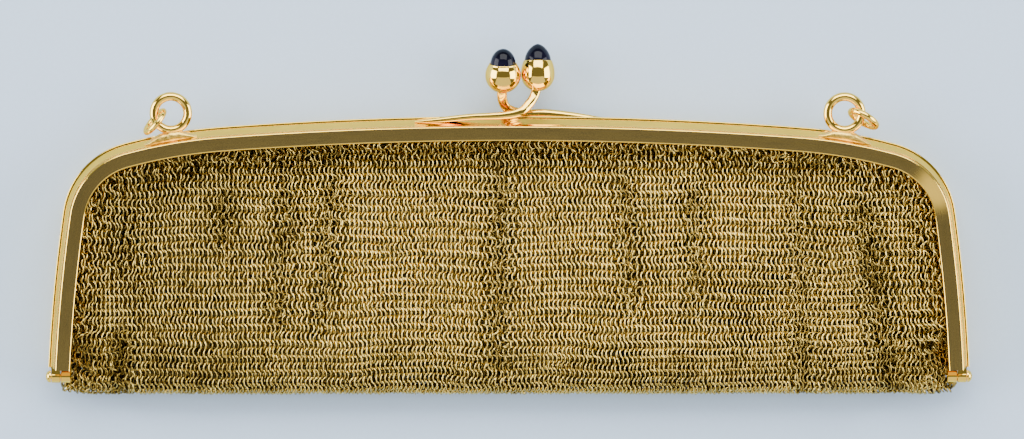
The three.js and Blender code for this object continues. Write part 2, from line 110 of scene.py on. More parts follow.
# Hinges. The plate closes a leg's end, and the web carries a knuckle on it.
HINGE_Y = 3.25
INNER_KNUCKLE = (80.9, 82.74)
OUTER_KNUCKLE = (82.86, 84.5)
BARREL_EDGE = 0.12
PIN_HEAD_FROM = 84.6
PIN_RADIUS = 0.45
PIN_HEAD_EDGE = 0.18
PLATE = {"thickness": 0.8, "proud": 0.02, "off_lip": 0.06, "off_wall": 0.2}
PLATE_SHARES = (1, 0.5, 0.06)
WEB = {"over_axis": 0.2, "into_leg": 0.3, "off_seam": 0.2, "under_barrel": 0.1}
HINGE_SIDES = 32

# Chain loops, their soldered feet, and the link on each loop.
LOOPS = {"left": (-62.35, 52.05, 7.6), "right": (61.55, 52.05, 7.6)}
LOOP_STEPS, LOOP_SIDES = 64, 20
FOOT_HALF_LENGTH = 4.9
FOOT_LOW = -0.1
FOOT_END_HEIGHT = 0.55
FOOT_CROWN = {"rise": 1.4, "flat_to": 0.3}
FOOT_HALF_WIDTH = 0.75
FOOT_BELLY = 0.4
FOOT_SQUARENESS = 0.85
FOOT_STATIONS, FOOT_SIDES = 49, 20
# Columns of the solder's lumps: height, waves along the foot in radians.
SOLDER_LUMPS = ((0.08, 7), (0.04, 17))
LINKS = (
    {
        "name": "link_left", "centre": (-65.27, 50.5, 7.6), "heading": 230, "roll": 11,
        "radius": 2.5, "wire": 0.53,
    },
    {
        "name": "link_right", "centre": (65.05, 51.07, 7.5), "heading": -31.7, "roll": 17,
        "radius": 2.62, "wire": 0.62,
    },
)
LINK_STEPS, LINK_SIDES = 56, 16

# Clasp: where each ball sits, how far it leans up, its collar, and the stone's shape.
BALLS = (
    {
        "half": "front", "centre": (5.13, 59.05, 4.9), "lean": -5,
        "radius": 3.12, "collar": 2.66, "collar_height": 2.4,
        "stone_radius": 2.46, "stone_height": 3.0, "stone_point": 0.62,
    },
    {
        "half": "back", "centre": (-1.3, 58.95, 6.3), "lean": 9,
        "radius": 3.28, "collar": 2.6, "collar_height": 2.05,
        "stone_radius": 2.38, "stone_height": 2.7, "stone_point": 0.52,
    },
)
STONE_GAP = 0.25
STONE_SUNK = 0.1
# Height of the rim round a stone, as a share of its thickness.
RIM_FULLNESS = 0.9
CLASP_SIDES = 64

# Routes of the clasp's arms. Columns: x, y, z, half width along the floor, half height.
ARMS = {
    "front": (
        (-17.5, 50.42, 6.7, 0.2, 0.5),
        (-12.8, 50.78, 7.0, 0.5, 0.7),
        (-7.3, 51.35, 7.3, 0.6, 0.75),
        (-1.56, 51.6, 7.4, 0.7, 0.7),
        (1.86, 52.25, 7.1, 0.8, 0.62),
        (3.5, 53.7, 6.2, 0.84, 0.58),
        (4.5, 55.2, 5.3, 0.84, 0.56),
        (5.1, 57.2, 4.95, 0.85, 0.6),
    ),
    "back": (
        (18.5, 50.3, 2.7, 0.45, 0.5),
        (12.0, 50.97, 2.8, 0.93, 0.8),
        (6.6, 51.5, 3.0, 1.05, 0.9),
        (2.6, 51.7, 3.3, 0.85, 0.8),
        (-0.4, 52.7, 4.0, 0.86, 0.7),
        (-1.35, 54.3, 4.8, 0.9, 0.62),
        (-1.45, 55.9, 5.5, 0.92, 0.6),
        (-1.3, 57.4, 6.0, 0.95, 0.65),
    ),
}
ARM_SQUARENESS = 0.72
ARM_SIDES, ARM_STEPS = 20, 8

# Form of the mail bag
BAG_TUCK = 1.0
BAG_HALF_WIDTH = 82
BAG_WAIST = 80.55
BAG_WAIST_HIGH = 6.1
BAG_WAIST_LOW = 1.8
BAG_FOOT = 2.0
BAG_WALL = 1.3
SIDE_PINCH = {"full_to": 1, "reach": 6, "below": 12, "gap": 0.35, "drop": 2.2}
FOOT_TAPER = {"reach": 10, "drop": 1.6}
# A second layer of mail, folded in behind the front at the two low corners.
GUSSET = {"from": 70, "below": 10, "depth": 0.8}
GROOVE_FULL = 58
GROOVE_NONE = 72
# Columns of the wall's heights: inset from the bag's edge, height.
FRONT_BY_TOP = ((0.8, 9.1), (3.8, 7.3), (9.5, 8.5))
FRONT_BY_LEG = ((0.8, 9.1), (5, 8.5))
BACK_BY_LIP = ((5.5, 1.85), (9.5, 1.05))
# Columns of the folds: x and y of the top, x and y of the foot, half width, depth.
FOLDS = (
    (-71.0, 37.0, -70.0, 20.0, 6.5, -0.45),
    (-71.6, 13.0, -71.6, 0.0, 3.2, -1.0),
    (-57.0, 14.0, -54.5, 0.0, 4.0, 0.45),
    (-52.4, 40.0, -52.9, 26.0, 3.0, -0.45),
    (-40.4, 42.5, -42.8, 10.0, 3.0, -0.5),
    (-32.0, 42.5, -34.4, 13.0, 3.2, -0.65),
    (-1.4, 42.5, -2.3, 3.0, 3.4, -0.85),
    (20.8, 42.5, 22.6, 15.0, 3.0, -0.65),
    (33.7, 40.5, 35.1, 15.0, 3.0, -0.5),
    (52.6, 40.5, 54.5, 0.0, 3.2, -0.6),
    (59.0, 31.0, 59.0, 0.0, 4.2, 0.55),
    (64.6, 37.0, 70.0, 2.0, 4.2, -1.15),
)
FOLD_FADE = 5
FOLD_END = 1
FOLD_GAIN = 1.8
FULL_VALLEY = 1.2

# Lie, tone and painted shade of the rings
# Columns of the tangles: x, y, reach, turn in degrees.
TANGLES = (
    (77.2, 9.4, 2.4, 78),
    (76.0, 15.0, 2.6, 40),
    (-77.4, 11.6, 2.8, -38),
    (-78.0, 5.5, 2.2, 35),
    (73.6, 8.0, 2.6, -42),
)
# Columns of the waves: count, reach, amount in millimetres, or in radians for the lean.
ROW_SWELLS = ((7, 34, 0.3), (7, 11, 0.1))
COLUMN_SWAY = (7, 14, 0.09)
LEAN_WAVES = (6, 16, math.radians(5))
# Each wave's length lies between these shares of its reach.
WAVE_SPREAD = (0.6, 1.6)
# Columns of the scatter: where the mail lies flat, and what looseness adds. Angles are in degrees.
SCATTER = {"lean": (4, 9), "nod": (6, 12), "spin": (5, 15), "shift": (0.03, 0.1)}
LOOSE_BY_LIP = {"from": 1.0, "to": 6.0, "most": 0.9}
# Painted shade on the mail, added to a ring's tarnish weight: under the lip, by the legs, at the foot and in
# the valleys of the folds.
SHADE_BY_LIP = {"from": 3.5, "to": 7.5, "less_by_leg": 0.7, "weight": 0.75}
SHADE_BY_LEG = {"middle": 15, "from": 40, "to": 80, "weight": 0.55}
SHADE_BY_FOOT = {"to": 11, "weight": 0.45}
SHADE_IN_VALLEYS = 0.7

# Rows of the mail are counted from this Y on the front, over a span that covers both walls.
ROW_ANCHOR = 22.0
ROW_SPAN = 54
MORE_BACK_ROWS = 30
WALL_LINE_TOP, WALL_LINE_STEP = 49, 0.4
FOOT_TURN_STEP = 6
# How far inside the bag's edge a ring's centre stays, as shares of its radius.
WAIST_MARGIN, LIP_MARGIN = 0.4, 0.6
MAIL_SEED = 41
# The front's rings look up at least this much.
FRONT_FACING = 0.05
FRONT_PIECES, BACK_PIECES = 4, 2
# Weight of the painted shade on the far half of each ring, where its neighbours shade it: front, back.
FRONT_GAP_SHADE, BACK_GAP_SHADE = 1.0, 0.5
# Steps on a ring's near and far half, and sides of its wire.
FRONT_DETAIL, BACK_DETAIL = (6, 4, 4), (5, 3, 3)

# Stage. Columns of the softboxes: name, bearing from +X and rise in degrees, distance, sides, watts.
SOFTBOXES = (
    ("left_softbox", 172, 23, 1.2, (0.9, 0.9), 26),
    ("right_softbox", 4, 23, 1.2, (0.85, 0.9), 22),
    ("top_softbox", 87, 40, 1.2, (1.4, 0.85), 28),
    ("front_card", 270, 38, 1.2, (2.4, 2.1), 15),
)
WORLD_COLOUR = (0.9, 0.95, 1.0, 1)
WORLD_STRENGTH = 0.22
FLOOR_REACH = 1.5
CAMERA_LENS = 250
CAMERA_SENSOR = 36
VIEW_WIDTH = 188.8 * MM
CAMERA_TILT = (-1.2, 4.5)
CAMERA_AIM = (0.41 * MM, -0.07 * MM)


# Sizes and colours


def linear(hex_colour):
    """An sRGB hex colour as linear red, green, blue and alpha."""
    shares = [int(hex_colour[i:i + 2], 16) / 255 for i in (1, 3, 5)]
    return tuple(s / 12.92 if s <= 0.04045 else ((s + 0.055) / 1.055) ** 2.4 for s in shares) + (1.0,)


def length(name, description, millimetres):
    return bpy.props.FloatProperty(
        name=name, description=description, default=millimetres * MM, unit="LENGTH"
    )


def colour(name, description, hex_colour):
    return bpy.props.FloatVectorProperty(
        name=name, description=description, default=linear(hex_colour), size=4, subtype="COLOR", min=0, max=1
    )


class PurseFrameSizes(bpy.types.PropertyGroup):
    """Sizes of the hinged frame, its hinges and the chain loops."""

    thickness: length("Thickness", "Depth of the closed frame", (FRAME_HIGH - FRAME_LOW) / MM)
    seam: length("Seam", "Gap between the two halves", 0.3)
    sheet: length("Sheet", "Thickness of the metal", 0.9)
    face_width: length("Face width", "Width of the flat face round the mail", 2.72)
    wall_flare: length("Wall flare", "How far the wall slopes out below the face", 1.1)
    edge_round: length("Edge round", "Rounding of the face's two edges", 0.26)
    rim_reach: length("Rim reach", "How far the back half's rim stands out", 0.4)
    rim_height: length("Rim height", "Height of the back half's rim", 0.7)
    knuckle_radius: length("Knuckle radius", "Radius of the hinge barrels", 1.15)
    pin_head_radius: length("Pin head radius", "Radius of the domed heads of the hinge pins", 1.1)
    pin_head_height: length("Pin head height", "Height of the domed heads", 0.95)
    loop_radius: length("Loop radius", "Radius of the chain loops to the middle of the wire", 3.09)
    loop_wire: length("Loop wire", "Radius of the loops' wire", 0.81)


class PurseClaspSizes(bpy.types.PropertyGroup):
    """Sizes of the ball clasp."""

    rim: length("Rim", "Thickness of the rim that holds each stone", 0.2)


class PurseMailSizes(bpy.types.PropertyGroup):
    """Sizes of the ring mail."""

    ring_radius: length("Ring radius", "Radius of a ring to the middle of its wire", 0.95)
    wire: length("Wire", "Radius of the rings' wire", 0.152)
    back_wire: length("Back wire", "Radius of the wire on the back and round the foot", 0.27)
    pitch: length("Pitch", "Distance from ring to ring along a row", 0.815)
    row_pitch: length("Row pitch", "Distance from row to row", 1.386)
    lean: bpy.props.FloatProperty(
        name="Lean", description="Turn of each ring out of the sheet", default=math.radians(51),
        subtype="ANGLE",
    )


class PurseColours(bpy.types.PropertyGroup):
    """Colours of the metals, the stones and the floor."""

    gold: colour("Gold", "Polished frame and clasp", "#FFD35A")
    gold_edge: colour("Gold edge", "Gold seen at a shallow angle", "#FFEBB0")
    brushed: colour("Brushed gold", "Grained faces of the frame", "#CDB26B")
    brushed_dark: colour("Brushed gold, dark", "Deeper strokes of the grain", "#9A8040")
    mail: colour("Mail", "Wire of the rings", "#FFE280")
    # Tarnish on the polished gold's dull patches; on the mail it also carries painted shade under the lip, by
    # the legs, in folds and at the foot.
    tarnish_and_shade: colour("Tarnish", "Dulled gold on worn stretches", "#927B3C")
    solder: colour("Solder", "Feet of the chain loops", "#E4C05A")
    # Painted shade: the inner half of each ring is darkened where its neighbours would shade it.
    painted_gap_shade: colour("Grime", "Dark film on the inner half of each ring", "#524520")
    stone: colour("Stone", "Dark blue stones", "#05060F")
    stone_edge: colour("Stone edge", "Violet that shows where the stone is thin", "#25213C")
    floor: colour("Floor", "Pale studio paper", "#B8CDE4")


def in_millimetres(group):
    """The group's lengths in millimetres, and its other values as they are."""
    values = {}
    for key in group.__annotations__:
        value = getattr(group, key)
        values[key] = value / MM if group.bl_rna.properties[key].unit == "LENGTH" else value
    return SimpleNamespace(**values)


# Drafts and pieces


def smoothstep(value, low, high):
    share = np.clip((value - low) / (high - low), 0, 1)
    return share * share * (3 - 2 * share)


def unit(vectors):
    return vectors / np.linalg.norm(vectors, axis=-1, keepdims=True)


def running_length(points):
    """Distance from the first point to each of them, along the line that joins them."""
    return np.concatenate([[0], np.cumsum(np.linalg.norm(np.diff(points, axis=0), axis=1))])


def facing(faces, side):
    """The faces as they are, or turned over where the side is the mirrored one."""
    return faces if side > 0 else [face[::-1] for face in faces]


class Draft:
    """Points, faces and finish numbers of one piece, in millimetres."""

    def __init__(self):
        self.points = []
        self.faces = []
        self.finishes = []
        self.count = 0

    def add(self, points, faces, finish=0):
        points = np.asarray(points, dtype=float).reshape(-1, 3)
        self.points.append(points)
        self.faces.extend([[corner + self.count for corner in face] for face in faces])
        self.finishes.extend(finish if isinstance(finish, list) else [finish] * len(faces))
        self.count += len(points)
        return self


def to_metres(points):
    return np.asarray(points) * MM + np.array([0, BAG_FOOT_PLACE, 0])


def add_piece(name, draft, materials, node, sharp=None):
    """Makes the draft an object, with edges sharp past an angle in degrees."""
    mesh = bpy.data.meshes.new(name)
    mesh.from_pydata(to_metres(np.concatenate(draft.points)).tolist(), [], draft.faces)
    if mesh.validate(verbose=False):
        raise RuntimeError(f"{name} had faulty faces")
    for material in materials:
        mesh.materials.append(material)
    mesh.polygons.foreach_set("material_index", np.array(draft.finishes, dtype=np.int32))
    mesh.shade_smooth()
    if sharp is not None:
        mesh.set_sharp_from_angle(angle=math.radians(sharp))
    return settle(bpy.data.objects.new(name, mesh), node)


def settle(piece, node):
    """Lets a piece ride on the purse and stand for a node of the frame."""
    bpy.context.scene.collection.objects.link(piece)
    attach(piece, "root")
    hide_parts(node)
    return piece


def store(mesh, name, values):
    """Keeps a number, or a row of three, for each point of a mesh."""
    values = np.asarray(values)
    kind, field = ("FLOAT", "value") if values.ndim == 1 else ("FLOAT_VECTOR", "vector")
    layer = mesh.attributes.new(name, kind, "POINT")
    layer.data.foreach_set(field, values.astype(np.float32).ravel())


def keep_flats(piece):
    """Keeps flat faces flat beside their rounded edges."""
    piece.modifiers.new("flat faces", "WEIGHTED_NORMAL").keep_sharp = True


# Arch of the frame


def arch_stations():
    """Points of the face's outer edge and the directions out of it, from the left leg to the right."""
    start = np.array([0.0, ARCH_TOP])
    heading = 0.0
    points, outs = [], []
    for radius, sweep in ARCH:
        turn = math.radians(sweep)
        centre = start - radius * np.array([math.sin(heading), math.cos(heading)])
        steps = max(ARC_STEPS, math.ceil(radius * turn / ARCH_SPACING))
        for angle in heading + turn * np.arange(1, steps + 1) / steps:
            out = np.array([math.sin(angle), math.cos(angle)])
            points.append(centre + radius * out)
            outs.append(out)
        start = points[-1]
        heading += turn
    right_points, right_outs = np.array(points), np.array(outs)
    mirror = np.array([-1, 1])
    top_point, top_out = np.array([[0.0, ARCH_TOP]]), np.array([[0.0, 1.0]])
    points = np.concatenate([right_points[::-1] * mirror, top_point, right_points])
    outs = np.concatenate([right_outs[::-1] * mirror, top_out, right_outs])
    return points, outs


ARCH_POINTS, ARCH_OUTS = arch_stations()
ARCH_RUN = running_length(ARCH_POINTS)


def station_at(x):
    """The arch's point and outward direction at an X of the top."""
    point = np.array([x, np.interp(x, ARCH_POINTS[:, 0], ARCH_POINTS[:, 1])])
    out = np.array([np.interp(x, ARCH_POINTS[:, 0], ARCH_OUTS[:, axis]) for axis in (0, 1)])
    return point, unit(out)


def rounded(corners):
    """A closed outline whose corners (place, rounding, finish of the side after it) are arcs."""
    points, finishes = [], []
    places = [np.array(place, dtype=float) for place, _, _ in corners]
    for i, (_, radius, finish) in enumerate(corners):
        back = unit(places[i - 1] - places[i])
        ahead = unit(places[(i + 1) % len(places)] - places[i])
        half = math.acos(np.clip(back @ ahead, -1, 1)) / 2
        centre = places[i] + unit(back + ahead) * radius / math.sin(half)
        first = places[i] + back * radius / math.tan(half) - centre
        last = places[i] + ahead * radius / math.tan(half) - centre
        for share in np.linspace(0, 1, CORNER_STEPS):
            points.append(centre + unit(first * (1 - share) + last * share) * radius)
            finishes.append(finish if share == 1 else 0)
    return np.array(points), finishes


def wall_point(size, share):
    """Distance out and height of the wall's outside at a share of the way from the face to the seam."""
    top, foot = size.thickness / 2, size.seam / 2
    return size.wall_flare * share ** WALL_FLARE_POWER, top - share * (top - foot)


def half_section(size, with_rim):
    """Distance out from the face's edge and height above the seam's middle, with the face finish 1."""
    top, foot = size.thickness / 2, size.seam / 2
    slope = size.wall_flare / (top - foot)
    corners = [
        ((-size.face_width, top - size.sheet), INSIDE_ROUND, 0),
        ((-size.face_width, top), size.edge_round, 1),
        ((0, top), size.edge_round, 0),
    ]
    corners += [(wall_point(size, share), WALL_ROUND, 0) for share in WALL_SHARES]
    if with_rim:
        rim_top, rim_out = foot + size.rim_height, size.wall_flare + size.rim_reach
        corners += [
            (wall_point(size, (top - rim_top) / (top - foot)), RIM_CREASE, 0),
            ((rim_out, rim_top), RIM_ROUND, 0),
            ((rim_out, foot), RIM_ROUND, 0),
        ]
    else:
        corners.append(((size.wall_flare, foot), SEAM_ROUND, 0))
    corners += [
        ((size.wall_flare - size.sheet, foot), INSIDE_ROUND, 0),
        ((slope * size.sheet - size.sheet, top - size.sheet), INSIDE_ROUND, 0),
    ]
    return rounded(corners)


def swept_band(section, finishes, up, middle):
    """The section carried along the arch and closed at both ends. Up is 1 for the front, -1 for the back."""
    count = len(section)
    rows = len(ARCH_POINTS)
    flat = ARCH_POINTS[:, None, :] + ARCH_OUTS[:, None, :] * section[None, :, :1]
    heights = np.broadcast_to(middle + up * section[None, :, 1:], (rows, count, 1))
    points = np.concatenate([flat, heights], axis=2)
    faces, numbers = [], []
    for row in range(rows - 1):
        here, ahead = row * count, (row + 1) * count
        for side in range(count):
            after = (side + 1) % count
            faces += facing([[here + side, here + after, ahead + after, ahead + side]], up)
            numbers.append(finishes[side])
    for row, turn in ((0, -up), (rows - 1, up)):
        faces += facing([[row * count + side for side in range(count)]], turn)
        numbers.append(0)
    return points, faces, numbers


def brushing(mesh, section):
    """Stores each point's place along and across the band, the direction across its grain, and a painted
    highlight at its corner.
    """
    lay = np.zeros((len(ARCH_POINTS), len(section), 3))
    lay[..., 0] = ARCH_RUN[:, None] * MM
    lay[..., 1] = running_length(section)[None, :] * MM
    outward = np.zeros_like(lay)
    outward[..., :2] = ARCH_OUTS[:, None, :]
    away = np.linalg.norm(ARCH_POINTS - (CORNER_HIGHLIGHT["x"], CORNER_HIGHLIGHT["y"]), axis=1) / CORNER_HIGHLIGHT["reach"]
    store(mesh, "lay", lay)
    store(mesh, "outward", outward)
    # A painted highlight: a patch on the face's corner, strongest at its middle.
    store(mesh, "painted_highlight", np.repeat(np.exp(-away ** CORNER_HIGHLIGHT["power"]), len(section)))


# Turned, bent and cast shapes


def grid_faces(rows, sides, closed=False):
    faces = []
    for row in range(rows if closed else rows - 1):
        here, ahead = row * sides, (row + 1) % rows * sides
        for side in range(sides):
            after = (side + 1) % sides
            faces.append([here + side, ahead + side, ahead + after, here + after])
    return faces


def capped_faces(rows, sides):
    """Faces of a bar with both ends closed."""
    first = list(range(sides))
    last = [(rows - 1) * sides + side for side in range(sides)]
    return [*grid_faces(rows, sides), first, last[::-1]]


def round_angles(sides):
    return np.arange(sides) * 2 * math.pi / sides


def oval(sides, squareness):
    """Width and height round a section between an ellipse, at 1, and a box, at 0."""
    shares = np.stack([np.cos(round_angles(sides)), np.sin(round_angles(sides))])
    return np.sign(shares) * np.abs(shares) ** squareness


def lathe(profile, sides):
    """A profile of (radius, height) from axis to axis, turned about Y."""
    profile = np.array(profile, dtype=float)
    inner = profile[1:-1]
    angles = round_angles(sides)
    heights = np.broadcast_to(inner[:, 1:], (len(inner), sides))
    rings = np.stack([inner[:, :1] * np.cos(angles), heights, inner[:, :1] * np.sin(angles)], axis=2)
    points = np.concatenate([rings.reshape(-1, 3), [[0, profile[0, 1], 0], [0, profile[-1, 1], 0]]])
    low, high = len(points) - 2, len(points) - 1
    top = (len(inner) - 1) * sides
    faces = []
    for side in range(sides):
        after = (side + 1) % sides
        faces.append([low, side, after])
        for row in range(len(inner) - 1):
            lower, upper = row * sides, (row + 1) * sides
            faces.append([lower + side, upper + side, upper + after, lower + after])
        faces.append([high, top + after, top + side])
    return points, faces


def leaned(points, centre, lean):
    """Points turned about X, so that their Y axis leans up by the angle, and moved to the centre."""
    turn = math.radians(lean)
    y = points[:, 1] * math.cos(turn) - points[:, 2] * math.sin(turn)
    z = points[:, 1] * math.sin(turn) + points[:, 2] * math.cos(turn)
    return np.stack([points[:, 0], y, z], axis=1) + np.array(centre)


def wire_ring(centre, along, up, radius, wire, steps, sides):
    """A ring of round wire in the plane of two directions."""
    across = np.cross(along, up)
    turns = round_angles(steps)
    spokes = np.cos(turns)[:, None] * along + np.sin(turns)[:, None] * up
    angles = round_angles(sides)
    points = (
        np.array(centre)
        + (radius + wire * np.cos(angles))[None, :, None] * spokes[:, None, :]
        + (wire * np.sin(angles))[None, :, None] * across
    )
    return points, grid_faces(steps, sides, closed=True)


def smooth_route(rows, steps):
    """Rows of numbers joined by a smooth curve through all of them."""
    rows = np.array(rows, dtype=float)
    ends = np.concatenate([[2 * rows[0] - rows[1]], rows, [2 * rows[-1] - rows[-2]]])
    result = []
    for i in range(1, len(ends) - 2):
        before, start, end, after = ends[i - 1:i + 3]
        for share in np.arange(steps) / steps:
            pull = -0.5 * before + 1.5 * start - 1.5 * end + 0.5 * after
            bend = before - 2.5 * start + 2 * end - 0.5 * after
            slope = 0.5 * (end - before)
            result.append(((pull * share + bend) * share + slope) * share + start)
    result.append(rows[-1])
    return np.array(result)


def bent_bar(rows, sides, steps):
    """A bar along a route, with an oval section whose half width and half height change on the way."""
    route = smooth_route(rows, steps)
    centres, halves = route[:, :3], route[:, 3:]
    along = unit(np.gradient(centres, axis=0))
    across = unit(np.cross(along, UP))
    rise = np.cross(across, along)
    width, height = oval(sides, ARM_SQUARENESS)
    points = (
        centres[:, None, :]
        + halves[:, None, :1] * width[None, :, None] * across[:, None, :]
        + halves[:, None, 1:] * height[None, :, None] * rise[:, None, :]
    )
    return points, capped_faces(len(centres), sides)


def soldered_foot(loop):
    """The solder-filled foot of a chain loop: low at its ends, drawn up to the ring in the middle."""
    point, out = station_at(loop[0])
    along = np.array([out[1], -out[0]])
    width, height = oval(FOOT_SIDES, FOOT_SQUARENESS)
    phases = (1, loop[0])
    points = []
    for share in np.linspace(-1, 1, FOOT_STATIONS):
        lumps = sum(
            lump * math.sin(pace * share + phase) for (lump, pace), phase in zip(SOLDER_LUMPS, phases)
        )
        drawn_up = 1 - smoothstep(abs(share), FOOT_CROWN["flat_to"], 1)
        crown = FOOT_END_HEIGHT + (FOOT_CROWN["rise"] + lumps) * drawn_up
        half = FOOT_HALF_WIDTH + (FOOT_BELLY + lumps) * (1 - abs(share) ** 2)
        outs = (crown + FOOT_LOW) / 2 + (crown - FOOT_LOW) / 2 * height
        flat = point + along * share * FOOT_HALF_LENGTH + outs[:, None] * out
        points.append(np.concatenate([flat, (loop[2] + half * width)[:, None]], axis=1))
    return np.array(points), facing(capped_faces(FOOT_STATIONS, FOOT_SIDES), -1)


# Hinge and clasp profiles


def hinge_place(points, start, side, size):
    """A lathe's points laid along X on the hinge axis, from a start outward."""
    x = side * (start + points[:, 1])
    return np.stack([x, HINGE_Y + points[:, 0], size.thickness / 2 + points[:, 2]], axis=1)


def barrel_profile(radius, width):
    inner = radius - BARREL_EDGE
    sides = [(radius, BARREL_EDGE), (radius, width - BARREL_EDGE)]
    return [(0, 0), (inner, 0), *sides, (inner, width), (0, width)]


def pin_profile(size):
    """A pin with a domed head on a short straight edge."""
    head = PIN_HEAD_FROM - INNER_KNUCKLE[0]
    radius, edge = size.pin_head_radius, head + PIN_HEAD_EDGE
    dome = size.pin_head_height - PIN_HEAD_EDGE
    profile = [(0, 0), (PIN_RADIUS, 0), (PIN_RADIUS, head), (radius, head), (radius, edge)]
    for angle in np.radians(np.arange(12, 90, 13)):
        profile.append((radius * math.cos(angle), edge + dome * math.sin(angle)))
    profile.append((0, head + size.pin_head_height))
    return profile


def end_plate(size, side, up):
    """The plate that closes a leg's hollow end."""
    point, out = ARCH_POINTS[-1], ARCH_OUTS[-1]
    along = np.array([out[1], -out[0]])
    lip = -size.face_width + PLATE["off_lip"]
    wall = [wall_point(size, share) for share in PLATE_SHARES]
    corners = [(lip, wall[0][1])]
    corners += [(reach - PLATE["off_wall"], height) for reach, height in wall]
    corners.append((lip, wall[-1][1]))
    points = []
    for depth in (-PLATE["thickness"], PLATE["proud"]):
        for reach, height in corners:
            place = point + along * depth + out * reach
            points.append((side * place[0], place[1], size.thickness / 2 + up * height))
    count = len(corners)
    faces = [list(range(count))[::-1], list(range(count, 2 * count))]
    for corner in range(count):
        after = (corner + 1) % count
        faces.append([corner, after, after + count, corner + count])
    return points, facing(faces, side * up)


def hinge_web(size, side, up, start, end):
    """The bar that carries a knuckle on its leg's end plate."""
    points = []
    for x in (start, end):
        for y in (HINGE_Y + WEB["over_axis"], ARCH_POINTS[-1, 1] + WEB["into_leg"]):
            for height in (WEB["off_seam"], size.knuckle_radius - WEB["under_barrel"]):
                points.append((side * x, y, size.thickness / 2 + up * height))
    faces = [[0, 1, 3, 2], [4, 6, 7, 5], [0, 4, 5, 1], [2, 3, 7, 6], [0, 2, 6, 4], [1, 5, 7, 3]]
    return points, facing(faces, side * up)


def ball_profile(rim, ball):
    """A ball whose upper half draws in to the rim round the stone."""
    radius, collar, top = ball["radius"], ball["collar"], ball["collar_height"]
    profile = [(0, -radius)]
    for angle in np.radians(np.arange(-84, 1, 6)):
        profile.append((radius * math.cos(angle), radius * math.sin(angle)))
    reach = top / math.sqrt(1 - (collar / radius) ** 2)
    for share in np.arange(0.1, 1.01, 0.1):
        profile.append((radius * math.sqrt(1 - (share * top / reach) ** 2), share * top))
    for angle in np.radians(np.arange(20, 181, 20)):
        inward, rise = rim * (1 - math.cos(angle)) / 2, RIM_FULLNESS * rim * math.sin(angle)
        profile.append((collar - inward, top + rise))
    profile.append((0, top))
    return profile


def stone_profile(ball):
    """A bullet that starts a little below the rim."""
    base = ball["collar_height"] - STONE_SUNK
    height = ball["stone_height"] + STONE_GAP + STONE_SUNK
    profile = [(0, base)]
    for share in np.sin(np.radians(np.arange(0, 90, 4.5))):
        radius = ball["stone_radius"] * (1 - share ** 2) ** ball["stone_point"]
        profile.append((radius, base + share * height))
    profile.append((0, base + height))
    return profile


# Ring mail


def edge_inset(x, y):
    """Distance in from the face's outer edge, less than nothing outside it."""
    places = np.stack([x, y], axis=-1)
    nearest = ((places[..., None, :] - ARCH_POINTS) ** 2).sum(axis=-1).argmin(axis=-1)
    return ((ARCH_POINTS[nearest] - places) * ARCH_OUTS[nearest]).sum(axis=-1)


def height_at(rows, inset):
    """Heights that ease from row to row of a table of insets and heights."""
    height = np.full_like(inset, rows[0][1])
    for (low, before), (high, after) in zip(rows, rows[1:]):
        height = height + (after - before) * smoothstep(inset, low, high)
    return height


def fold_depth(x, y):
    """How far the folds lift the front wall, less than nothing in their valleys."""
    depth = np.zeros_like(x)
    for top_x, top_y, foot_x, foot_y, half_width, deep in FOLDS:
        share = (y - foot_y) / (top_y - foot_y)
        off = np.minimum(np.abs(x - (foot_x + (top_x - foot_x) * share)) / half_width, 1)
        lower = smoothstep(y, foot_y - FOLD_FADE, foot_y + FOLD_FADE) if foot_y > 0 else 1
        upper = 1 - smoothstep(y, top_y - FOLD_FADE, top_y + FOLD_END)
        depth = depth + deep * lower * upper * (1 + np.cos(math.pi * off)) / 2
    return depth * FOLD_GAIN


def valley(x, y):
    """How deep in a fold the mail lies, from 0 to 1."""
    return np.clip(-fold_depth(x, y) / FULL_VALLEY, 0, 1)


def looseness(x, y, face_width):
    """How loosely the rings lie, from 0 to 1: most beside the lips and in the valleys of the folds."""
    beside_lip = 1 - smoothstep(edge_inset(x, y) - face_width, LOOSE_BY_LIP["from"], LOOSE_BY_LIP["to"])
    return np.maximum(LOOSE_BY_LIP["most"] * beside_lip, valley(x, y))


def painted_shade(x, y, face_width):
    """Painted shade on the mail: darker under the lip, by the legs, in the valleys of the folds and at the
    foot.
    """
    by_lip = 1 - smoothstep(edge_inset(x, y) - face_width, SHADE_BY_LIP["from"], SHADE_BY_LIP["to"])
    by_lip = by_lip * (1 - SHADE_BY_LIP["less_by_leg"] * smoothstep(np.abs(x), GROOVE_FULL, GROOVE_NONE))
    by_leg = smoothstep(np.abs(x - SHADE_BY_LEG["middle"]), SHADE_BY_LEG["from"], SHADE_BY_LEG["to"])
    by_foot = 1 - smoothstep(y, BAG_FOOT, SHADE_BY_FOOT["to"])
    return (
        SHADE_BY_LIP["weight"] * by_lip + SHADE_BY_LEG["weight"] * by_leg
        + SHADE_BY_FOOT["weight"] * by_foot + SHADE_IN_VALLEYS * valley(x, y)
    )


def tangle_turn(x, y):
    """How far rings are pulled round, in radians, near the places where the mail is caught."""
    turn = np.zeros_like(x)
    for place_x, place_y, reach, angle in TANGLES:
        away = np.hypot(x - place_x, y - place_y) / reach
        turn += math.radians(angle) * np.exp(-away ** 2)
    return turn


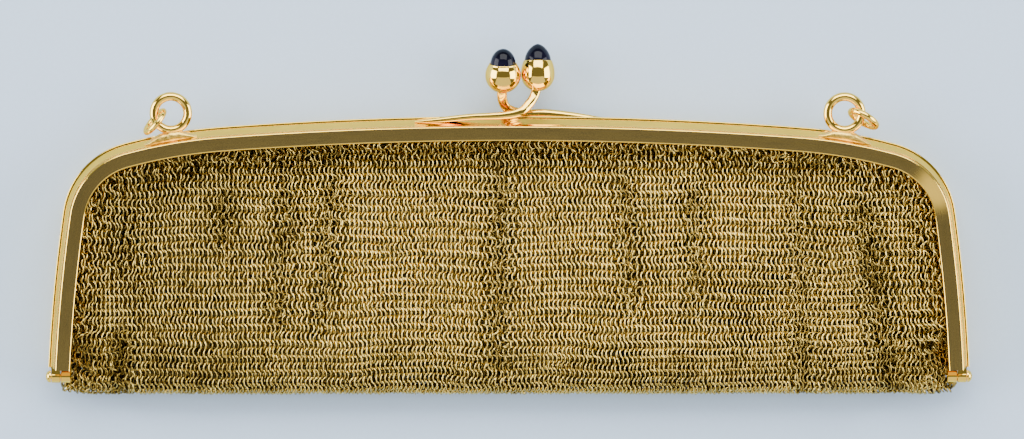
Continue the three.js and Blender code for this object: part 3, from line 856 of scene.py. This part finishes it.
def bag_heights(x, y, face_width):
    """Heights of the middle of the front and back walls over points of the floor."""
    inset = edge_inset(x, y) - (face_width - BAG_TUCK)
    under_top = 1 - smoothstep(np.abs(x), GROOVE_FULL, GROOVE_NONE)
    taper = FOOT_TAPER["drop"] * (1 - smoothstep(y, BAG_FOOT, FOOT_TAPER["reach"]))
    by_leg, by_top = height_at(FRONT_BY_LEG, inset), height_at(FRONT_BY_TOP, inset)
    front = by_leg + (by_top - by_leg) * under_top + fold_depth(x, y) - taper
    back = height_at(BACK_BY_LIP, inset)
    low = 1 - smoothstep(y, SIDE_PINCH["below"] / 2, SIDE_PINCH["below"])
    side = 1 - smoothstep(BAG_HALF_WIDTH - np.abs(x), SIDE_PINCH["full_to"], SIDE_PINCH["reach"])
    middle = (front + back) / 2 - SIDE_PINCH["drop"] * low * side
    pinched = (BAG_WALL + SIDE_PINCH["gap"]) / 2
    half = (front - back) / 2 + (pinched - (front - back) / 2) * low * side
    return middle + half, middle - half


def waves(x, y, rng, count, reach, amount):
    """A soft random swell over the sheet."""
    total = np.zeros_like(x)
    for _ in range(count):
        angle, phase = rng.uniform(0, 2 * math.pi, 2)
        span = reach * rng.uniform(*WAVE_SPREAD)
        total += np.sin((x * math.cos(angle) + y * math.sin(angle)) * 2 * math.pi / span + phase)
    return amount * total / math.sqrt(count)


def wall_line(x, face_width):
    """The wall's middle line over one X, from the back lip round the foot to the front lip."""
    rows = np.arange(BAG_FOOT + BAG_WALL / 2, WALL_LINE_TOP, WALL_LINE_STEP)
    front, back = bag_heights(np.full_like(rows, x), rows, face_width)
    turn = np.radians(np.arange(FOOT_TURN_STEP, 180, FOOT_TURN_STEP))
    middle, half = (front[0] + back[0]) / 2, (front[0] - back[0]) / 2
    foot_y = rows[0] - BAG_FOOT * np.sin(turn)
    foot_z = middle - half * np.cos(turn)
    y = np.concatenate([rows[::-1], foot_y, rows])
    z = np.concatenate([back[::-1], foot_z, front])
    run = np.concatenate([[0], np.cumsum(np.hypot(np.diff(y), np.diff(z)))])
    return y, z, run - run[len(rows) + len(turn) // 2 + len(turn) % 2]


def mail_lattice(size, face_width, rng):
    """Ring centres over the whole bag: an array of rows (back lip to front lip) and half-pitch columns."""
    most = int(2 * BAG_HALF_WIDTH / size.pitch)
    x = np.arange(-most, most + 1) * size.pitch / 2
    each_way = int(ROW_SPAN / size.row_pitch)
    rows = np.arange(-each_way - MORE_BACK_ROWS, each_way)
    grid_x, grid_run = np.meshgrid(x, rows * size.row_pitch)
    swell = sum(waves(grid_x, grid_run, rng, *wave) for wave in ROW_SWELLS)
    sway = waves(grid_x, grid_run, rng, *COLUMN_SWAY)
    y = np.empty_like(grid_x)
    z = np.empty_like(grid_x)
    for column, place in enumerate(x):
        line_y, line_z, run = wall_line(place, face_width)
        middle = len(run) // 2
        anchor = np.interp(ROW_ANCHOR, line_y[middle:], run[middle:])
        target = grid_run[:, column] + anchor + swell[:, column]
        outside = (target < run[0]) | (target > run[-1])
        y[:, column] = np.interp(target, run, line_y)
        z[:, column] = np.interp(target, run, line_z)
        y[outside, column] = np.nan
    return np.stack([grid_x + sway, y, z], axis=-1), rows


def inside_bag(x, y, radius, face_width):
    """Whether a ring at each place stays within the bag's outline."""
    waist = np.where(y < BAG_WAIST_LOW, BAG_HALF_WIDTH, BAG_WAIST)
    low = (y <= BAG_WAIST_HIGH) & (np.abs(x) <= waist + radius * WAIST_MARGIN)
    tucked = face_width - BAG_TUCK
    high = (y > BAG_WAIST_HIGH) & (edge_inset(x, y) >= tucked + radius * LIP_MARGIN)
    legs = np.abs(x) <= ARCH_POINTS[-1, 0] - face_width + BAG_TUCK - radius * LIP_MARGIN
    return low | (high & legs)


def mail_rings(size, face_width, rng):
    """Places and directions of all rings, with their row numbers."""
    places, rows = mail_lattice(size, face_width, rng)
    along = np.gradient(places, axis=1)
    up = np.gradient(places, axis=0)
    held = ~np.isnan(places).any(axis=-1) & ~np.isnan(along).any(axis=-1) & ~np.isnan(up).any(axis=-1)
    row_index, column_index = np.meshgrid(rows, np.arange(places.shape[1]), indexing="ij")
    held &= (row_index + column_index) % 2 == 0
    centres, held_rows = places[held], row_index[held]
    inside = inside_bag(centres[:, 0], centres[:, 1], size.ring_radius, face_width)
    along, up = unit(along[held][inside]), unit(up[held][inside])
    centres, held_rows = centres[inside], held_rows[inside]
    normal = unit(np.cross(along, up))
    along = np.cross(up, normal)
    gathered = (np.abs(centres[:, 0]) > GUSSET["from"]) & (centres[:, 1] < GUSSET["below"])
    inner = centres[gathered] - normal[gathered] * GUSSET["depth"]
    inner[:, 0] += np.sign(inner[:, 0]) * size.pitch / 4
    others = (np.concatenate([values, values[gathered]]) for values in (along, up, normal, held_rows))
    return np.concatenate([centres, inner]), *others


def turned(first, second, angle):
    """Two square directions turned in their own plane."""
    cosine, sine = np.cos(angle)[:, None], np.sin(angle)[:, None]
    return first * cosine + second * sine, second * cosine - first * sine


def ring_frames(size, face_width, rng, centres, along, up, normal, rows):
    """Centres and directions of each ring: rows lean alternately to the left and to the right."""
    count = len(centres)
    x, y = centres[:, 0], centres[:, 1]
    loose = looseness(x, y, face_width)
    spread = {key: flat + more * loose for key, (flat, more) in SCATTER.items()}
    lean = size.lean + waves(x, y, rng, *LEAN_WAVES)
    lean = lean + rng.normal(0, 1, count) * np.radians(spread["lean"])
    lean = np.where(rows % 2 == 0, lean, -lean)
    nod = rng.normal(0, 1, count) * np.radians(spread["nod"])
    spin = rng.normal(0, 1, count) * np.radians(spread["spin"]) + tangle_turn(x, y)
    shift = rng.normal(0, 1, (count, 2)) * spread["shift"][:, None]
    centres = centres + along * shift[:, :1] + up * shift[:, 1:]
    along, up = turned(along, up, spin)
    up, normal = turned(up, normal, nod)
    spoke, axis = turned(along, normal, -lean)
    return centres, spoke, up, axis


def ring_mesh(name, rings, radius, wire, gap_shade_weight, detail):
    """All rings of one piece as a single mesh, with more steps on the side of each ring that shows."""
    centres, spokes, ups, axes, tones = rings
    near_steps, far_steps, sides = detail
    near = np.linspace(math.pi / 2, 3 * math.pi / 2, near_steps, endpoint=False)
    far = np.linspace(3 * math.pi / 2, 5 * math.pi / 2, far_steps, endpoint=False)
    turns = np.concatenate([near, far])
    angles = (np.arange(sides) + 0.5) * 2 * math.pi / sides
    steps = len(turns)
    rays = np.cos(turns)[None, :, None] * spokes[:, None, :] + np.sin(turns)[None, :, None] * ups[:, None, :]
    points = (
        centres[:, None, None, :]
        + (radius + wire * np.cos(angles))[None, None, :, None] * rays[:, :, None, :]
        + (wire * np.sin(angles))[None, None, :, None] * axes[:, None, None, :]
    )
    pattern = np.array(grid_faces(steps, sides, closed=True))
    faces = (pattern[None] + (np.arange(len(centres)) * steps * sides)[:, None, None]).reshape(-1, 4)
    mesh = bpy.data.meshes.new(name)
    mesh.vertices.add(points.size // 3)
    mesh.vertices.foreach_set("co", to_metres(points.reshape(-1, 3)).astype(np.float32).ravel())
    mesh.loops.add(faces.size)
    mesh.loops.foreach_set("vertex_index", faces.astype(np.int32).ravel())
    mesh.polygons.add(len(faces))
    mesh.polygons.foreach_set("loop_start", np.arange(0, faces.size, 4, dtype=np.int32))
    mesh.update(calc_edges=True)
    # The far half of each ring gets painted shade, by this weight.
    depths = np.broadcast_to(gap_shade_weight * (1 + np.cos(turns))[None, :, None] / 2, (len(centres), steps, sides))
    store(mesh, "ring_tone", np.repeat(tones, steps * sides))
    store(mesh, "depth", depths.ravel())
    mesh.shade_smooth()
    return mesh


# Materials


def add_node(tree, kind, inputs=None, **settings):
    """Adds a node with its settings, and sets or links its inputs."""
    node = tree.nodes.new(kind)
    for name, value in settings.items():
        setattr(node, name, value)
    for socket, value in (inputs or {}).items():
        if isinstance(value, bpy.types.NodeSocket):
            tree.links.new(value, node.inputs[socket])
        else:
            node.inputs[socket].default_value = value
    return node


def finish(build, colours):
    """The material named after the function that builds it, made when it is first asked for."""
    material = bpy.data.materials.get(build.__name__)
    if material is None:
        material = bpy.data.materials.new(build.__name__)
        material.use_nodes = True
        tree = material.node_tree
        tree.nodes.clear()
        shader = build(tree, colours)
        add_node(tree, "ShaderNodeOutputMaterial", {"Surface": shader.outputs["BSDF"]})
    return material


def hand_polished_gold(tree, colours):
    """Yellow gold, hand polished: a clear warm mirror with fine wear and slightly dulled patches."""
    place = add_node(tree, "ShaderNodeTexCoord").outputs["Object"]
    patch_size, scratch_size = 5 * MM, 0.25 * MM
    patches = add_node(tree, "ShaderNodeTexNoise", {"Vector": place, "Scale": 1 / patch_size, "Detail": 3})
    scratches = add_node(
        tree, "ShaderNodeTexNoise", {"Vector": place, "Scale": 1 / scratch_size, "Detail": 2}
    )
    dull = add_node(
        tree, "ShaderNodeMapRange",
        {"Value": patches.outputs["Fac"], "From Min": 0.35, "From Max": 0.75, "To Min": 0.0, "To Max": 0.15},
    )
    tint = add_node(
        tree, "ShaderNodeMix",
        {"Factor": dull.outputs["Result"], "A": colours.gold, "B": colours.tarnish_and_shade}, data_type="RGBA",
    )
    gloss = add_node(
        tree, "ShaderNodeMapRange",
        {"Value": patches.outputs["Fac"], "From Min": 0.3, "From Max": 0.7, "To Min": 0.04, "To Max": 0.1},
    )
    bump = add_node(
        tree, "ShaderNodeBump",
        {"Height": scratches.outputs["Fac"], "Strength": 0.03, "Distance": 0.02 * MM},
    )
    return add_node(
        tree, "ShaderNodeBsdfPrincipled",
        {
            "Base Color": tint.outputs["Result"], "Metallic": 1.0, "Specular Tint": colours.gold_edge,
            "Roughness": gloss.outputs["Result"], "Normal": bump.outputs["Normal"],
        },
    )


def flowed_gold_solder(tree, colours):
    """Gold solder, left as it flowed: a warmer, softly rippled satin that blurs what it mirrors."""
    place = add_node(tree, "ShaderNodeTexCoord").outputs["Object"]
    ripple_size = 0.7 * MM
    ripples = add_node(tree, "ShaderNodeTexNoise", {"Vector": place, "Scale": 1 / ripple_size, "Detail": 3})
    gloss = add_node(
        tree, "ShaderNodeMapRange",
        {"Value": ripples.outputs["Fac"], "From Min": 0.3, "From Max": 0.7, "To Min": 0.25, "To Max": 0.45},
    )
    bump = add_node(
        tree, "ShaderNodeBump", {"Height": ripples.outputs["Fac"], "Strength": 0.4, "Distance": 0.12 * MM}
    )
    return add_node(
        tree, "ShaderNodeBsdfPrincipled",
        {
            "Base Color": colours.solder, "Metallic": 1.0, "Roughness": gloss.outputs["Result"],
            "Normal": bump.outputs["Normal"],
        },
    )


def brushed_gold(tree, colours):
    """Yellow gold, grained lengthwise with fine paper: a darker satin face with streaks along the band.

    A highlight is painted on the face's corner: there the colour turns to the lighter polished gold, and the
    face is made matt.
    """
    lay = add_node(tree, "ShaderNodeAttribute", attribute_name="lay").outputs["Vector"]
    outward = add_node(tree, "ShaderNodeAttribute", attribute_name="outward").outputs["Vector"]
    painted_highlight = add_node(tree, "ShaderNodeAttribute", attribute_name="painted_highlight").outputs["Fac"]
    # Real grain is about 0.03 mm wide; it is drawn at 0.12 mm so that it shows.
    grain_width, grain_length = 0.12 * MM, 6 * MM
    highlight_roughness = 0.21
    stretched = add_node(
        tree, "ShaderNodeMapping", {"Vector": lay, "Scale": (1 / grain_length, 1 / grain_width, 1)}
    )
    grain = add_node(
        tree, "ShaderNodeTexNoise", {"Vector": stretched.outputs["Vector"], "Scale": 1.0, "Detail": 3}
    )
    tint = add_node(
        tree, "ShaderNodeMix",
        {"Factor": grain.outputs["Fac"], "A": colours.brushed, "B": colours.brushed_dark}, data_type="RGBA",
    )
    # Painted highlight: the corner patch takes the lighter polished gold.
    with_highlight = add_node(
        tree, "ShaderNodeMix",
        {"Factor": painted_highlight, "A": tint.outputs["Result"], "B": colours.gold}, data_type="RGBA",
    )
    grained = add_node(
        tree, "ShaderNodeMapRange",
        {"Value": grain.outputs["Fac"], "From Min": 0.3, "From Max": 0.7, "To Min": 0.17, "To Max": 0.27},
    )
    matt = add_node(tree, "ShaderNodeMath", {0: painted_highlight, 1: highlight_roughness}, operation="MULTIPLY")
    gloss = add_node(
        tree, "ShaderNodeMath", {0: grained.outputs["Result"], 1: matt.outputs["Value"]}, operation="ADD"
    )
    bump = add_node(
        tree, "ShaderNodeBump", {"Height": grain.outputs["Fac"], "Strength": 0.12, "Distance": 0.02 * MM}
    )
    return add_node(
        tree, "ShaderNodeBsdfPrincipled",
        {
            "Base Color": with_highlight.outputs["Result"], "Metallic": 1.0, "Roughness": gloss.outputs["Value"],
            "Anisotropic": 0.4, "Tangent": outward, "Normal": bump.outputs["Normal"],
        },
    )


def drawn_gold_wire(tree, colours):
    """Drawn gold wire, closed into rings: bright along each wire, rings a little lighter or duller at random,
    painted shade under the lip, by the legs, in folds and at the foot, and painted shade on each ring's inner
    half.
    """
    tone = add_node(tree, "ShaderNodeAttribute", attribute_name="ring_tone").outputs["Fac"]
    depth = add_node(tree, "ShaderNodeAttribute", attribute_name="depth").outputs["Fac"]
    place = add_node(tree, "ShaderNodeTexCoord").outputs["Object"]
    patch_size = 7 * MM
    patches = add_node(tree, "ShaderNodeTexNoise", {"Vector": place, "Scale": 1 / patch_size, "Detail": 4})
    mixed = add_node(tree, "ShaderNodeMath", {0: tone, 1: patches.outputs["Fac"]}, operation="MULTIPLY")
    tint = add_node(
        tree, "ShaderNodeMix",
        {"Factor": mixed.outputs["Value"], "A": colours.mail, "B": colours.tarnish_and_shade}, data_type="RGBA",
    )
    # Painted shade: the far half of each ring is mixed towards a dark brown.
    gap_shade_weight = add_node(
        tree, "ShaderNodeMapRange",
        {"Value": depth, "From Min": 0.4, "From Max": 0.85, "To Min": 0.0, "To Max": 1.0},
    )
    gap_shaded = add_node(
        tree, "ShaderNodeMix",
        {"Factor": gap_shade_weight.outputs["Result"], "A": tint.outputs["Result"], "B": colours.painted_gap_shade}, data_type="RGBA",
    )
    gloss = add_node(
        tree, "ShaderNodeMapRange",
        {"Value": tone, "From Min": 0.0, "From Max": 1.0, "To Min": 0.07, "To Max": 0.19},
    )
    return add_node(
        tree, "ShaderNodeBsdfPrincipled",
        {"Base Color": gap_shaded.outputs["Result"], "Metallic": 1.0, "Roughness": gloss.outputs["Result"]},
    )


def polished_sapphire(tree, colours):
    """Dark blue stone, polished as a high cabochon: nearly black, violet where it thins at its foot."""
    place = add_node(tree, "ShaderNodeTexCoord").outputs["Object"]
    rise = add_node(tree, "ShaderNodeAttribute", attribute_name="rise").outputs["Fac"]
    cloud_size = 1.6 * MM
    clouds = add_node(tree, "ShaderNodeTexNoise", {"Vector": place, "Scale": 1 / cloud_size, "Detail": 3})
    thin = add_node(
        tree, "ShaderNodeMapRange",
        {"Value": rise, "From Min": 0.0, "From Max": 0.75, "To Min": 0.55, "To Max": 0.0},
    )
    share = add_node(
        tree, "ShaderNodeMath", {0: thin.outputs["Result"], 1: clouds.outputs["Fac"]}, operation="MULTIPLY"
    )
    tint = add_node(
        tree, "ShaderNodeMix",
        {"Factor": share.outputs["Value"], "A": colours.stone, "B": colours.stone_edge}, data_type="RGBA",
    )
    return add_node(
        tree, "ShaderNodeBsdfPrincipled",
        {"Base Color": tint.outputs["Result"], "Roughness": 0.05, "IOR": 1.77, "Specular IOR Level": 0.07},
    )


def studio_paper(tree, colours):
    """Matt card: an even pale tone with a faint fibre."""
    place = add_node(tree, "ShaderNodeTexCoord").outputs["Object"]
    fibre_size = 0.8 * MM
    fibre = add_node(tree, "ShaderNodeTexNoise", {"Vector": place, "Scale": 1 / fibre_size, "Detail": 4})
    shade = add_node(
        tree, "ShaderNodeMapRange",
        {"Value": fibre.outputs["Fac"], "From Min": 0.3, "From Max": 0.7, "To Min": 0.985, "To Max": 1.015},
    )
    tint = add_node(
        tree, "ShaderNodeMix", {"Factor": 1.0, "A": colours.floor, "B": shade.outputs["Result"]},
        data_type="RGBA", blend_type="MULTIPLY",
    )
    return add_node(
        tree, "ShaderNodeBsdfPrincipled", {"Base Color": tint.outputs["Result"], "Roughness": 0.9}
    )


# Stage


def add_floor(scene):
    mesh = bpy.data.meshes.new("floor")
    corners = [(x * FLOOR_REACH, y * FLOOR_REACH, 0) for x, y in ((-1, -1), (1, -1), (1, 1), (-1, 1))]
    mesh.from_pydata(corners, [], [(0, 1, 2, 3)])
    mesh.materials.append(finish(studio_paper, scene.purse_colours))
    floor = bpy.data.objects.new("floor", mesh)
    scene.collection.objects.link(floor)


def set_world(scene):
    world = bpy.data.worlds.new("studio")
    world.use_nodes = True
    back = world.node_tree.nodes["Background"]
    back.inputs["Color"].default_value = WORLD_COLOUR
    back.inputs["Strength"].default_value = WORLD_STRENGTH
    scene.world = world


def add_softbox(scene, name, bearing, rise, distance, sides, power):
    light = bpy.data.lights.new(name, "AREA")
    light.shape = "RECTANGLE"
    light.size, light.size_y = sides
    light.energy = power
    lamp = bpy.data.objects.new(name, light)
    turn, lift = math.radians(bearing), math.radians(rise)
    towards = Vector((math.cos(turn) * math.cos(lift), math.sin(turn) * math.cos(lift), math.sin(lift)))
    lamp.location = towards * distance
    lamp.rotation_mode = "QUATERNION"
    lamp.rotation_quaternion = towards.to_track_quat("Z", "Y")
    lamp.visible_camera = False
    scene.collection.objects.link(lamp)


def add_camera(scene):
    """Looks nearly straight down, from a little above the clasp's side and to the left."""
    data = bpy.data.cameras.new("camera")
    data.lens = CAMERA_LENS
    data.sensor_width = CAMERA_SENSOR
    data.dof.use_dof = False
    camera = bpy.data.objects.new("camera", data)
    low, high = SOLID_BOX
    target = (low + high) / 2 + Vector((*CAMERA_AIM, 0))
    across, along = (math.tan(math.radians(angle)) for angle in CAMERA_TILT)
    back = Vector((across, along, 1)).normalized()
    right = (Vector((1, 0, 0)) - back * back.x).normalized()
    up = back.cross(right)
    distance = VIEW_WIDTH * CAMERA_LENS / CAMERA_SENSOR
    place = target + back * distance
    camera.matrix_world = Matrix.Translation(place) @ Matrix((right, up, back)).transposed().to_4x4()
    scene.collection.objects.link(camera)
    scene.camera = camera


# Operators


class PURSE_OT_stage(bpy.types.Operator):
    """Lays the floor, sets the lights and places the camera."""

    bl_idname = "purse.stage"
    bl_label = "Stage"

    def execute(self, context):
        add_floor(context.scene)
        set_world(context.scene)
        for row in SOFTBOXES:
            add_softbox(context.scene, *row)
        add_camera(context.scene)
        return {"FINISHED"}


class PURSE_OT_frame_halves(bpy.types.Operator):
    """Sweeps the two channel-shaped halves of the frame along the arch."""

    bl_idname = "purse.frame_halves"
    bl_label = "Frame halves"

    def execute(self, context):
        size = in_millimetres(context.scene.purse_frame)
        colours = context.scene.purse_colours
        finishes = [finish(hand_polished_gold, colours), finish(brushed_gold, colours)]
        for half, up in (("front", 1), ("back", -1)):
            section, numbers = half_section(size, with_rim=half == "back")
            draft = Draft().add(*swept_band(section, numbers, up, size.thickness / 2))
            name, node = f"frame_band_{half}", f"frame_{half}"
            piece = add_piece(name, draft, finishes, node, sharp=40)
            brushing(piece.data, section)
            keep_flats(piece)
        return {"FINISHED"}


class PURSE_OT_hinges(bpy.types.Operator):
    """Turns the hinge barrels and the domed pins at the ends of the legs."""

    bl_idname = "purse.hinges"
    bl_label = "Hinges"

    def execute(self, context):
        size = in_millimetres(context.scene.purse_frame)
        gold = finish(hand_polished_gold, context.scene.purse_colours)
        for half, up, (start, end) in (("front", 1, OUTER_KNUCKLE), ("back", -1, INNER_KNUCKLE)):
            draft = Draft()
            for side in (-1, 1):
                points, faces = lathe(barrel_profile(size.knuckle_radius, end - start), HINGE_SIDES)
                draft.add(hinge_place(points, start, side, size), facing(faces, side))
                draft.add(*end_plate(size, side, up))
                draft.add(*hinge_web(size, side, up, start, end))
            add_piece(f"hinge_knuckles_{half}", draft, [gold], f"frame_{half}", sharp=35)
        for name, side in (("left", -1), ("right", 1)):
            points, faces = lathe(pin_profile(size), HINGE_SIDES)
            draft = Draft().add(hinge_place(points, INNER_KNUCKLE[0], side, size), facing(faces, side))
            add_piece(f"pin_{name}", draft, [gold], f"hinge_pin_{name}", sharp=35)
        return {"FINISHED"}


class PURSE_OT_chain_loops(bpy.types.Operator):
    """Bends the two chain loops with their soldered feet, and the link on each."""

    bl_idname = "purse.chain_loops"
    bl_label = "Chain loops and links"

    def execute(self, context):
        size = in_millimetres(context.scene.purse_frame)
        colours = context.scene.purse_colours
        gold, solder = finish(hand_polished_gold, colours), finish(flowed_gold_solder, colours)
        for name, loop in LOOPS.items():
            ring = wire_ring(loop, ACROSS, AHEAD, size.loop_radius, size.loop_wire, LOOP_STEPS, LOOP_SIDES)
            draft = Draft().add(*ring).add(*soldered_foot(loop), 1)
            add_piece(f"chain_loop_{name}", draft, [gold, solder], "frame_front", sharp=50)
        for link in LINKS:
            heading, roll = math.radians(link["heading"]), math.radians(link["roll"])
            along = np.array([math.cos(heading), math.sin(heading), 0])
            up = math.cos(roll) * UP - math.sin(roll) * np.cross(along, UP)
            ring = wire_ring(link["centre"], along, up, link["radius"], link["wire"], LINK_STEPS, LINK_SIDES)
            add_piece(f"chain_{link['name']}", Draft().add(*ring), [gold], link["name"])
        return {"FINISHED"}


class PURSE_OT_clasp(bpy.types.Operator):
    """Makes the two crossing arms, their balls and the stones on them."""

    bl_idname = "purse.clasp"
    bl_label = "Ball clasp"

    def execute(self, context):
        size = in_millimetres(context.scene.purse_clasp)
        colours = context.scene.purse_colours
        gold, stone = finish(hand_polished_gold, colours), finish(polished_sapphire, colours)
        for ball in BALLS:
            half, node = ball["half"], f"frame_{ball['half']}"
            points, faces = lathe(ball_profile(size.rim, ball), CLASP_SIDES)
            draft = Draft().add(leaned(points, ball["centre"], ball["lean"]), faces)
            add_piece(f"clasp_ball_{half}", draft, [gold], node, sharp=50)
            draft = Draft().add(*bent_bar(ARMS[half], ARM_SIDES, ARM_STEPS))
            add_piece(f"clasp_arm_{half}", draft, [gold], node, sharp=60)
            points, faces = lathe(stone_profile(ball), CLASP_SIDES)
            draft = Draft().add(leaned(points, ball["centre"], ball["lean"]), faces)
            piece = add_piece(f"cabochon_{half}", draft, [stone], f"stone_{half}", sharp=50)
            low, high = points[:, 1].min(), points[:, 1].max()
            store(piece.data, "rise", (points[:, 1] - low) / (high - low))
        return {"FINISHED"}


class PURSE_OT_ring_mail(bpy.types.Operator):
    """Links the rings of the bag, row by row over its front, round its foot and up its back."""

    bl_idname = "purse.ring_mail"
    bl_label = "Ring mail"

    def execute(self, context):
        size = in_millimetres(context.scene.purse_mail)
        face_width = in_millimetres(context.scene.purse_frame).face_width
        gold_wire = finish(drawn_gold_wire, context.scene.purse_colours)
        rng = np.random.default_rng(MAIL_SEED)
        centres, along, up, normal, rows = mail_rings(size, face_width, rng)
        centres, spokes, ups, axes = ring_frames(size, face_width, rng, centres, along, up, normal, rows)
        near = np.where(rows % 2 == 0, 1.0, -1.0)[:, None]
        # Each ring's tone: a random share of tarnish, plus painted shade under the lip, by the legs, at the
        # foot and in the folds.
        tones = rng.uniform(0, 1, len(centres)) + painted_shade(centres[:, 0], centres[:, 1], face_width)
        rings = (centres, spokes * near, ups, axes * near, tones)
        front = normal[:, 2] > FRONT_FACING
        groups = (
            ("front", front, FRONT_PIECES, size.wire, FRONT_GAP_SHADE, FRONT_DETAIL),
            ("back", ~front, BACK_PIECES, size.back_wire, BACK_GAP_SHADE, BACK_DETAIL),
        )
        for label, chosen, pieces, wire, gap_shade_weight, detail in groups:
            numbers = np.flatnonzero(chosen)
            numbers = numbers[np.argsort(centres[numbers, 0], kind="stable")]
            for part, share in enumerate(np.array_split(numbers, pieces), start=1):
                name = f"ring_mail_{label}_{part}"
                chosen_rings = [values[share] for values in rings]
                mesh = ring_mesh(name, chosen_rings, size.ring_radius, wire, gap_shade_weight, detail)
                mesh.materials.append(gold_wire)
                settle(bpy.data.objects.new(name, mesh), "mesh_bag")
        return {"FINISHED"}


class PURSE_PT_panel(bpy.types.Panel):
    """Lists the purse's pieces and their sizes."""

    bl_idname = "PURSE_PT_panel"
    bl_label = "Ring-mail purse"
    bl_space_type = "VIEW_3D"
    bl_region_type = "UI"
    bl_category = "Purse"

    def draw(self, context):
        for step in STEPS:
            self.layout.operator(step.bl_idname)
        for key in SETTINGS:
            group = getattr(context.scene, key)
            box = self.layout.box()
            for name in group.__annotations__:
                box.prop(group, name)


SETTINGS = {
    "purse_frame": PurseFrameSizes,
    "purse_clasp": PurseClaspSizes,
    "purse_mail": PurseMailSizes,
    "purse_colours": PurseColours,
}
STEPS = (
    PURSE_OT_stage,
    PURSE_OT_frame_halves,
    PURSE_OT_hinges,
    PURSE_OT_chain_loops,
    PURSE_OT_clasp,
    PURSE_OT_ring_mail,
)
CLASSES = (*SETTINGS.values(), *STEPS, PURSE_PT_panel)


def register():
    for cls in CLASSES:
        bpy.utils.register_class(cls)
    for key, group in SETTINGS.items():
        setattr(bpy.types.Scene, key, bpy.props.PointerProperty(type=group))


def unregister():
    for key in SETTINGS:
        delattr(bpy.types.Scene, key)
    for cls in reversed(CLASSES):
        bpy.utils.unregister_class(cls)


def main():
    register()
    for step in STEPS:
        name = step.bl_idname.split(".")[1]
        getattr(bpy.ops.purse, name)()


if __name__ == "__main__":
    main()
